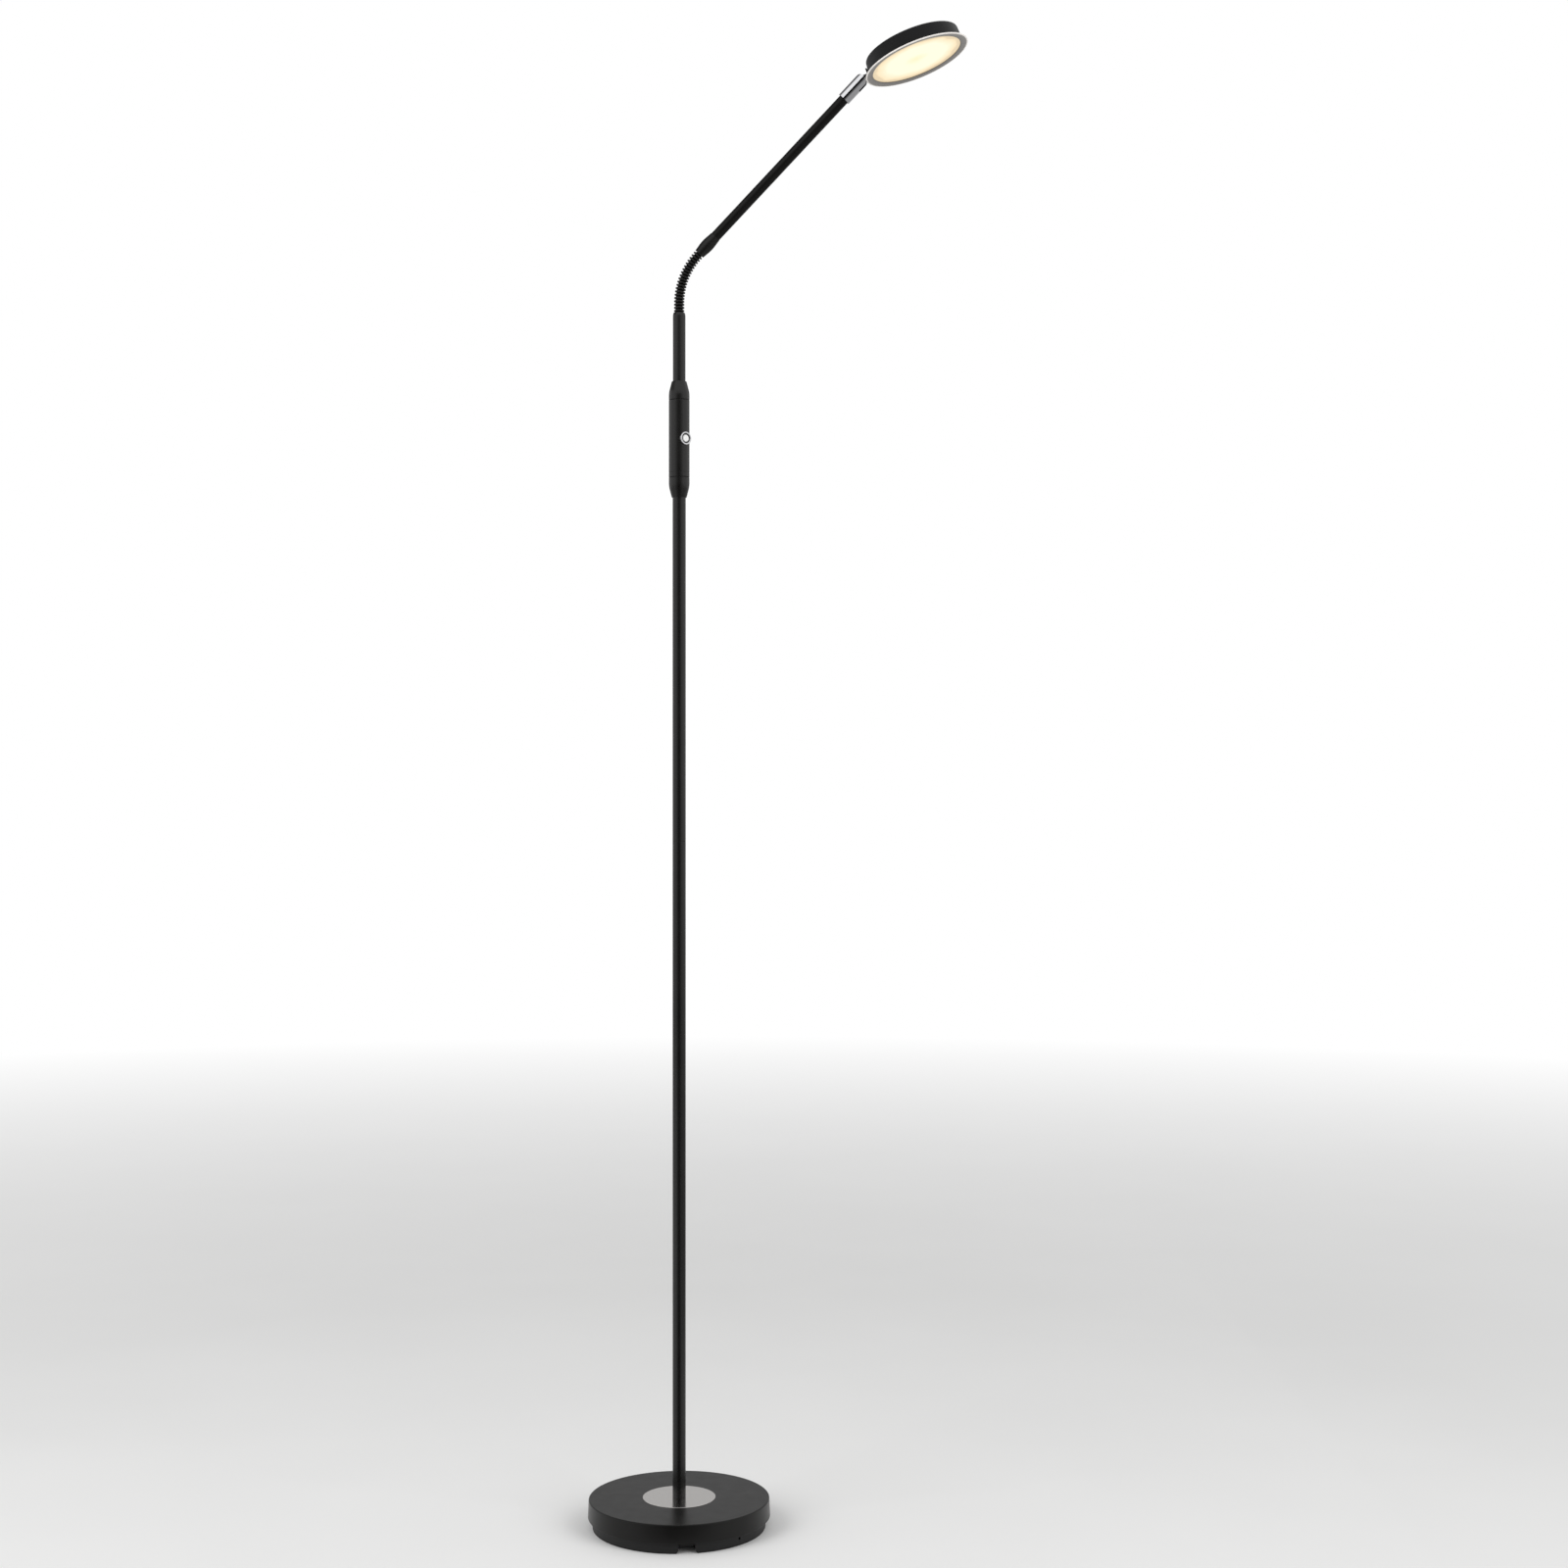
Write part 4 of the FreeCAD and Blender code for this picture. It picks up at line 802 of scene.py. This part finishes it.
class LAMP_OT_switch(Maker):
    """Make the switch housing, its two cones, the chrome bezel and the domed white cap"""

    bl_idname = "lamp.switch"
    bl_label = "Switch housing"

    def make(self, sizes, colours):
        low, high = lowest("switch_body").z, highest("switch_body").z
        self.make_cone(sizes, "lower", sizes.pole_radius, lowest, highest, low, 1)
        self.make_cone(sizes, "upper", sizes.tube_radius, highest, lowest, high, -1)
        self.make_barrel(sizes, low, high)
        self.make_button(sizes)

    def make_cone(self, sizes, name, tube_radius, tip_of, end_of, joint, way):
        """A cone from its tip on the tube to the spigot in the housing; the upper one's outline runs the other way."""
        node = f"switch_{name}_cone"
        tip, end = tip_of(node).z, end_of(node).z
        radius, edge, bore = sizes.housing_radius, sizes.housing_edge, tube_radius + PLAY
        spigot = radius - sizes.housing_wall - 0.00015
        corners = [
            (bore, tip, 0),
            (sizes.cone_end_radius, tip, 0.0005),
            (radius, tip + way * sizes.cone_slope, sizes.cone_shoulder),
            (radius, joint - way * edge, FINE),
            (radius - edge, joint, FINE),
            (spigot, joint, 0),
            (spigot, end, 0),
            (bore, end, 0),
        ]
        made(f"{name}_housing_cone", turned(corners[::way], steps=9), "stand", node)

    def make_barrel(self, sizes, low, high):
        """The housing's body with its turned line, in many rows so that the button's hole leaves it smooth."""
        radius, edge, depth = sizes.housing_radius, sizes.housing_edge, sizes.housing_line_depth
        line, bore = low + sizes.housing_line_height, radius - sizes.housing_wall
        start, end = line + depth * 2, high - edge
        corners = [
            (bore, low, 0),
            (radius - edge, low, FINE),
            (radius, low + edge, FINE),
            (radius, line, FINE),
            (radius - depth, line, FINE),
            (radius - depth, start, FINE),
            (radius, start, FINE),
            *[(radius, height, 0) for height in np.linspace(start, end, 60)[1:-1]],
            (radius, end, FINE),
            (radius - edge, high, FINE),
            (bore, high, 0),
        ]
        barrel = made("housing_barrel", turned(corners, columns=128, steps=3), "stand", "switch_body")
        inside, outside = 0.004, 0.02
        drill = tube(0, sizes.bezel_radius + 0.00005, inside, outside, columns=72)
        bored(barrel, facing(drill, sizes.button_turn, sizes.button_height))

    def make_button(self, sizes):
        """The black seat, whose lacquer is painted shade on the bezel's side, the chrome ring with its painted shaded
        step, and the cap; a height is the distance from the pole's axis.
        """

        def on_button(name, surface, body, node, **look):
            made(name, facing(surface, sizes.button_turn, sizes.button_height), body, node, **look)

        front, ring = sizes.bezel_front, sizes.bezel_radius
        back, under = front - 0.006, front - 0.0011
        hollow, throat, ledge = 0.0056, 0.0061, front - 0.0032
        # Painted shade: the bezel's side below its front is laid in black lacquer, where the chrome shows dark.
        seat = tube(throat + PLAY, ring, back, under, high_edge=0.0005, columns=80)
        on_button("button_seat_painted_shade", seat, "stand", "button_bezel", slot="bronze_metal")
        guide = sizes.cap_radius + PLAY
        bezel = turned(
            [
                (hollow, back, 0),
                (throat, back, 0),
                (throat, under, 0),
                (ring - PLAY, under, FINE),
                (ring - PLAY, front, 0.0007),
                (ring - 0.0016, front, 0.0005),
                (ring - 0.0021, front - 0.0010, 0.0003),
                (guide, front - 0.0016, 0.0002),
                (guide, ledge, 0),
                (hollow, ledge, 0),
            ],
            columns=80,
        )
        # The bezel's finish paints shade on its inner step.
        on_button("chrome_button_bezel", bezel, "stand", "button_bezel", finish="bezel")
        crown, radius, stem, collar = sizes.cap_front, sizes.cap_radius, 0.0016, 0.0055
        cap = turned(
            [
                (0, crown - 0.0089, 0),
                (stem, crown - 0.0089, FINE),
                (stem, crown - 0.0049, FINE),
                (collar, crown - 0.0049, FINE),
                (collar, crown - 0.004, FINE),
                (radius, crown - 0.004, FINE),
                (radius, crown - 0.0003, sizes.cap_round),
                (0, crown, 0),
            ],
            columns=72,
            steps=10,
        )
        on_button("domed_button_cap", cap, "button", "button_cap")


class LAMP_OT_neck(Maker):
    """Make the tube above the housing, the nested rings of the bending neck and the black sleeve"""

    bl_idname = "lamp.neck"
    bl_label = "Bending neck"

    def make(self, sizes, colours):
        low, high = lowest("upper_tube").z, highest("upper_tube").z
        radius, wall = sizes.tube_radius, 0.001
        bore = radius - wall
        drawn_tube = turned(
            [
                (bore, low, 0),
                (radius, low, 0.0002),
                (radius, high - sizes.tube_taper, 0.0011),
                (sizes.tube_end_radius, high, 0.0004),
                (bore, high, FINE),
            ]
        )
        made("tube_above_housing", drawn_tube, "stand", "upper_tube")
        low, top = lowest("gooseneck_root").z, highest("gooseneck_root").z
        bore, nose, plug = sizes.ring_bore, sizes.nose_root, radius - wall - 0.00015
        ease = 0.0002
        corners = [(bore, low, 0), (plug, low, ease), (plug, high, ease), (nose, high, ease), (bore, top, ease)]
        made("neck_root_nose", turned(corners, columns=64, steps=4), "stand", "gooseneck_root")
        self.make_rings(sizes)
        self.make_sleeve(sizes)

    def make_rings(self, sizes):
        """One ring's surface, set at each of the neck's points with its own lean."""
        radius, land, bevel = sizes.ring_radius, sizes.ring_land, sizes.ring_bevel
        ring = turned(
            [
                (sizes.ring_mouth, 0, 0.00015),
                (radius, bevel, 0.0005),
                (radius, land - bevel, 0.0005),
                (sizes.nose_root, land, 0.0003),
                (sizes.ring_bore, sizes.nose_length, FINE),
                (sizes.ring_bore, MOUTH_DEPTH, FINE),
            ],
            columns=72,
            steps=5,
        )
        for number, (point, lean) in enumerate(zip(neck_points(sizes), ring_leans(sizes)), start=1):
            surface = leaned(ring, lean, point - along(lean, sizes.ring_front))
            made(f"neck_ring_{number:02d}", surface, f"link_{number:02d}", f"gooseneck_link_{number:02d}")

    def make_sleeve(self, sizes):
        """The barrel-shaped sleeve, hollow for the last nose at one end and for the arm at the other."""
        arm, end = sizes.arm_radius + PLAY, sizes.sleeve_length
        stop = end - sizes.arm_in_sleeve
        sleeve = turned(
            [
                (sizes.ring_mouth, 0, FINE),
                (sizes.sleeve_front_radius, 0, 0.0004),
                (sizes.sleeve_crest_radius, sizes.sleeve_crest, 0.0056),
                (sizes.sleeve_end_radius, end, 0.0003),
                (arm, end, FINE),
                (arm, stop, 0),
                (sizes.ring_bore, stop, 0),
                (sizes.ring_bore, MOUTH_DEPTH, 0),
            ],
            steps=12,
        )
        lean = sizes.arm_lean
        sleeve = leaned(sleeve, lean, neck_points(sizes)[-1] - along(lean, sizes.ring_front))
        made("black_neck_sleeve", sleeve, "arm", "gooseneck_ferrule")


class LAMP_OT_arm(Maker):
    """Make the straight arm and the chrome knuckle"""

    bl_idname = "lamp.arm"
    bl_label = "Arm and knuckle"

    def make(self, sizes, colours):
        start = sizes.sleeve_length - sizes.ring_front - sizes.arm_in_sleeve
        end, wall = start + sizes.arm_in_sleeve + sizes.arm_showing, 0.001
        arm = tube(sizes.arm_radius - wall, sizes.arm_radius, start, end, 0.0002, 0.0002, columns=80)
        arm = leaned(arm, sizes.arm_lean, neck_points(sizes)[-1])
        made("straight_arm", arm, "arm", "arm_tube", finish="arm")
        fork = bevelled(merged_copy("chrome_fork", "knuckle_fork"), sizes.knuckle_edge)
        seated(fork, "arm", "knuckle_fork")


class LAMP_OT_head(Maker):
    """Make the silver rim, the black drum, the glowing diffuser and the bracket of the lamp head"""

    bl_idname = "lamp.head"
    bl_label = "Lamp head"

    def make(self, sizes, colours):
        middle, tilt = head_place(sizes), -sizes.head_tilt

        def in_head(name, surface, node):
            made(name, leaned(surface, tilt, middle), "head", node)

        radius, edge, lip, lip_height = sizes.rim_radius, sizes.rim_edge, sizes.rim_lip, sizes.rim_lip_height
        flange, lip_back = sizes.rim_seat, lip_height + 0.0007
        collar, collar_wall, collar_end = sizes.drum_radius - 0.00164, 0.0008, 0.007
        rim = turned(
            [
                (lip, lip_height, 0.0002),
                (radius - 0.0016, 0.0002, 0.0002),
                (radius - 0.0012, 0, 0.0002),
                (radius - 0.0005, 0, 0.0003),
                (radius, 0.0005, 0.0003),
                (radius, edge - 0.0004, 0.0003),
                (radius - 0.0005, edge, 0.0002),
                (collar, flange, FINE),
                (collar, collar_end, FINE),
                (collar - collar_wall, collar_end, FINE),
                (collar - collar_wall, lip_back, FINE),
                (lip, lip_back, 0.0002),
            ],
            columns=240,
            steps=4,
        )
        in_head("silver_rim", rim, "rim_ring")
        back, front, bore, wall = sizes.drum_back, flange - 0.0002, sizes.drum_radius - 0.0012, 0.002
        drum = turned(
            [
                (bore, front, 0),
                (sizes.drum_radius, front, 0.0003),
                (sizes.drum_radius - sizes.drum_draft, back, sizes.drum_edge),
                (0, back, 0),
                (0, back - wall, 0),
                (bore - sizes.drum_draft, back - wall, 0.001),
            ],
            columns=200,
            steps=9,
        )
        in_head("drum_shell", drum, "head_drum")
        face = lip_back + PLAY
        opal = tube(0, sizes.diffuser_radius, face, face + sizes.diffuser_thickness, 0.0004, FINE, columns=180)
        in_head("glowing_diffuser", opal, "diffuser")
        self.hang_bracket(sizes, tilt, middle)
        self.carry_inner_pieces(sizes, tilt, middle)

    def carry_inner_pieces(self, sizes, tilt, middle):
        """Copies of the pieces inside the solid head, carried to the same places in the finished one."""
        solid_place = from_hinge(sizes, sizes.solid_tilt, sizes.solid_reach, sizes.solid_behind)
        for node in INSIDE_HEAD:
            drawn = along(tilt + np.pi / 2, sizes.foot_draw) if node == "bracket_screws" else 0
            inner = merged_copy(f"inner_{node}", node)
            seated(rehung(inner, solid_place, sizes.solid_tilt + tilt, middle + drawn), "head", node)

    def hang_bracket(self, sizes, tilt, middle):
        """The tongue with its round end on the hinge, and the foot that follows the drum's side.

        Outlines are (distance from the head's middle towards the hinge, height behind the rim's front) corners.
        """
        half, radius, pin = sizes.tongue_half, sizes.boss_radius, np.array([sizes.pin_reach, sizes.pin_behind_rim])
        low, top, near, far = 0.0037, 0.0078, 0.053, 0.0568 - sizes.foot_draw
        foot_near, foot_low, foot_top, foot_half = 0.052, 0.0038, 0.0118, 0.0075
        side, screw_half = np.pi / 2, 0.01
        end = arc(pin, radius, np.pi - np.arcsin((low - pin[1]) / radius), 2.44 * np.pi, 44)
        tongue = np.concatenate([[(near, low)], end, [(far, top), (near, top)]])
        foot = [(foot_near, foot_low), (far, foot_low), (far, foot_top), (foot_near, foot_top)]
        hole = arc(pin, sizes.hinge_bore, 0.0, 2 * np.pi, 48, closed=True)
        drum = tube(0, sizes.drum_radius + 0.00015, 0.001, 0.018, columns=240)
        bracket = block("tilt_bracket", leaned(slab(tongue, side, -half, half), tilt, middle))
        for surface, operation in (
            (slab(foot, side, -foot_half, foot_half), "UNION"),
            (drum, "DIFFERENCE"),
            (slab(hole, side, -screw_half, screw_half), "DIFFERENCE"),
        ):
            bored(bracket, leaned(surface, tilt, middle), operation)
        covered(bracket.data, finishes["black_shell"])
        seated(bevelled(bracket, 0.0003), "head", "head_bracket")


# ---------------------------------------------------------------- the studio

UP = np.array([0.0, 0.0, 1.0])
WHITE = (1, 1, 1, 1)


class LAMP_OT_studio(bpy.types.Operator):
    """Set up the pale floor, the soft light and the camera"""

    bl_idname = "lamp.studio"
    bl_label = "Studio"
    bl_options = {"REGISTER", "UNDO"}

    def execute(self, context):
        scene, studio = context.scene, context.scene.lamp_studio
        scene.view_settings.view_transform = "Standard"
        turn = studio.camera_turn
        camera = placed("camera", bpy.data.cameras.new("camera"))
        camera.location = tuple(studio.camera_place)
        camera.rotation_euler = (np.pi / 2, 0.0, turn)
        camera.data.lens, camera.data.sensor_width = studio.lens, 36.0
        scene.camera = camera
        self.lay_floor(scene.lamp_colours.floor)
        self.light_room(scene, studio.sky)
        front = np.array([np.sin(turn), -np.cos(turn), 0.0])
        side = np.array([np.cos(turn), np.sin(turn), 0.0])
        self.hang_light("key_light", front * 1.5 - side * 1.9 + UP * 1.9, studio.key_power)
        self.hang_light("fill_light", front * 1.5 + side * 1.9 + UP * 1.7, studio.fill_power)
        self.hang_cards(front, side)
        return {"FINISHED"}

    def lay_floor(self, tone):
        """A flat floor, which a camera far from the lamp sees fade into the white of the room."""
        half, fade_start, fade_end = 9, 1.2, 5.0
        mesh = bpy.data.meshes.new("floor")
        mesh.from_pydata([(-half, -half, 0), (half, -half, 0), (half, half, 0), (-half, half, 0)], [], [(0, 1, 2, 3)])
        finish = Finish("pale_floor")
        finish.shaded(Base_Color=finish.between(finish.noise(3.0), shade(tone, 0.99), shade(tone, 1.01)))
        finish.set(Roughness=0.9, Specular_IOR_Level=0.1)
        fade = finish.spread(finish.vector("LENGTH", finish.place), 0.0, 1.0, fade_start, fade_end)
        seen = finish.maths("MULTIPLY", fade, finish.add("ShaderNodeLightPath").outputs["Is Camera Ray"])
        white = finish.add("ShaderNodeEmission", Color=WHITE, Strength=1.0)
        finish.blend(seen, finish.shader.outputs[0], white.outputs[0])
        covered(mesh, finish.material)
        placed("floor", mesh)

    def light_room(self, scene, strength):
        """A white room: full white where it is seen, mirrored or looked through, and softer where it lights."""
        world = bpy.data.worlds.new("white_room")
        world.use_nodes = True
        room = Nodes(world.node_tree)
        rays = room.add("ShaderNodeLightPath").outputs
        seen = room.maths("ADD", rays["Is Camera Ray"], rays["Is Glossy Ray"], clamp=True)
        seen = room.maths("ADD", seen, rays["Is Transmission Ray"], clamp=True)
        background = room.tree.nodes["Background"]
        background.inputs["Color"].default_value = WHITE
        room.link(room.spread(seen, strength, 1.0, 0.0, 1.0), background.inputs["Strength"])
        scene.world = world

    def hang_light(self, name, place, power):
        """A large soft light that faces the middle of the pole."""
        lamp = bpy.data.lights.new(name, "AREA")
        lamp.shape, lamp.size, lamp.size_y, lamp.energy = "RECTANGLE", 1.5, 2.2, power
        light = placed(name, lamp)
        light.location = tuple(place)
        aim = Vector((0.05, 0.0, 0.85)) - Vector(tuple(place))
        light.rotation_euler = aim.to_track_quat("-Z", "Y").to_euler()
        light.visible_camera = light.visible_glossy = False

    def hang_cards(self, front, side):
        """Cards that only mirrors see: a dark runner towards the camera, walls behind and at the left, a grey floor."""
        reach, half = 3.4, 5.0
        lines = [front * 0.16 + UP * 0.001, front * reach + UP * 0.001, front * reach + UP * 2.2]
        rows = [(point - side * half, point + side * half) for point in lines]
        self.hang_card("dark_runner", rows, front, side, 0.0, 0.12, 1.15)
        lines = [front * -2.8 + UP * 0.1, front * -2.8 + UP * 3.4]
        rows = [(point - side * half, point + side * half) for point in lines]
        self.hang_card("grey_wall", rows, -front, side, 0.5, 1.0, 1.7)
        left = side * -2.6
        rows = [(left - front * 7 + UP * height, left + front * 1.7 + UP * height) for height in (2.4, 8.0)]
        self.hang_card("left_wall", rows, side * -0.82 - front * 0.57, front * 0.82 - side * 0.57, 0.13, 0.44, 2.3)
        lines = [side * out + UP * 0.002 for out in (0.8, 3.6)]
        rows = [(point - front * 4.5, point + front * 2.6) for point in lines]
        self.hang_card("grey_floor", rows, side, front, 0.33, 1.2, 2.4)

    def hang_card(self, name, rows, ahead, across, brightness, start, end):
        """A card through rows of (left, right) corners, which fades out to the sides.

        The fade goes by the slant |across| / ahead as seen from the lamp's foot: none up to the start, gone at the end.
        """
        mesh = bpy.data.meshes.new(name)
        faces = [(2 * row, 2 * row + 1, 2 * row + 3, 2 * row + 2) for row in range(len(rows) - 1)]
        mesh.from_pydata([tuple(corner) for row in rows for corner in row], [], faces)
        finish = Finish(name)
        spans = [finish.vector("DOT_PRODUCT", finish.place, direction) for direction in (across, ahead)]
        slant = finish.maths("ABSOLUTE", finish.maths("DIVIDE", *spans))
        lit = finish.add("ShaderNodeEmission", Color=WHITE, Strength=brightness)
        clear = finish.add("ShaderNodeBsdfTransparent")
        finish.blend(finish.spread(slant, 0.0, 1.0, start, end), lit.outputs[0], clear.outputs[0])
        covered(mesh, finish.material)
        card = placed(name, mesh)
        card.visible_camera = card.visible_diffuse = card.visible_shadow = card.visible_transmission = False


# ---------------------------------------------------------------- panel and run

MAKERS = (
    LAMP_OT_finishes,
    LAMP_OT_base,
    LAMP_OT_pole,
    LAMP_OT_switch,
    LAMP_OT_neck,
    LAMP_OT_arm,
    LAMP_OT_head,
    LAMP_OT_studio,
)


class LAMP_PT_build(bpy.types.Panel):
    """Lists the steps that build the lamp"""

    bl_label = "Reading lamp"
    bl_idname = "LAMP_PT_build"
    bl_space_type = "VIEW_3D"
    bl_region_type = "UI"
    bl_category = "Reading lamp"

    def draw(self, context):
        for maker in MAKERS:
            self.layout.operator(maker.bl_idname)
        for group in (context.scene.lamp_sizes, context.scene.lamp_colours, context.scene.lamp_studio):
            box = self.layout.box()
            for name in group.bl_rna.properties.keys():
                if name not in ("rna_type", "name"):
                    box.prop(group, name)


CLASSES = (LampSizes, LampColours, StudioSettings, *MAKERS, LAMP_PT_build)


def register():
    for each in CLASSES:
        bpy.utils.register_class(each)
    bpy.types.Scene.lamp_sizes = bpy.props.PointerProperty(type=LampSizes)
    bpy.types.Scene.lamp_colours = bpy.props.PointerProperty(type=LampColours)
    bpy.types.Scene.lamp_studio = bpy.props.PointerProperty(type=StudioSettings)


def unregister():
    del bpy.types.Scene.lamp_studio, bpy.types.Scene.lamp_colours, bpy.types.Scene.lamp_sizes
    for each in reversed(CLASSES):
        bpy.utils.unregister_class(each)


def main():
    """Build the lamp in order."""
    register()
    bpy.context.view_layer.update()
    for maker in MAKERS:
        group, name = maker.bl_idname.split(".")
        getattr(getattr(bpy.ops, group), name)()


if __name__ == "__main__":
    main()
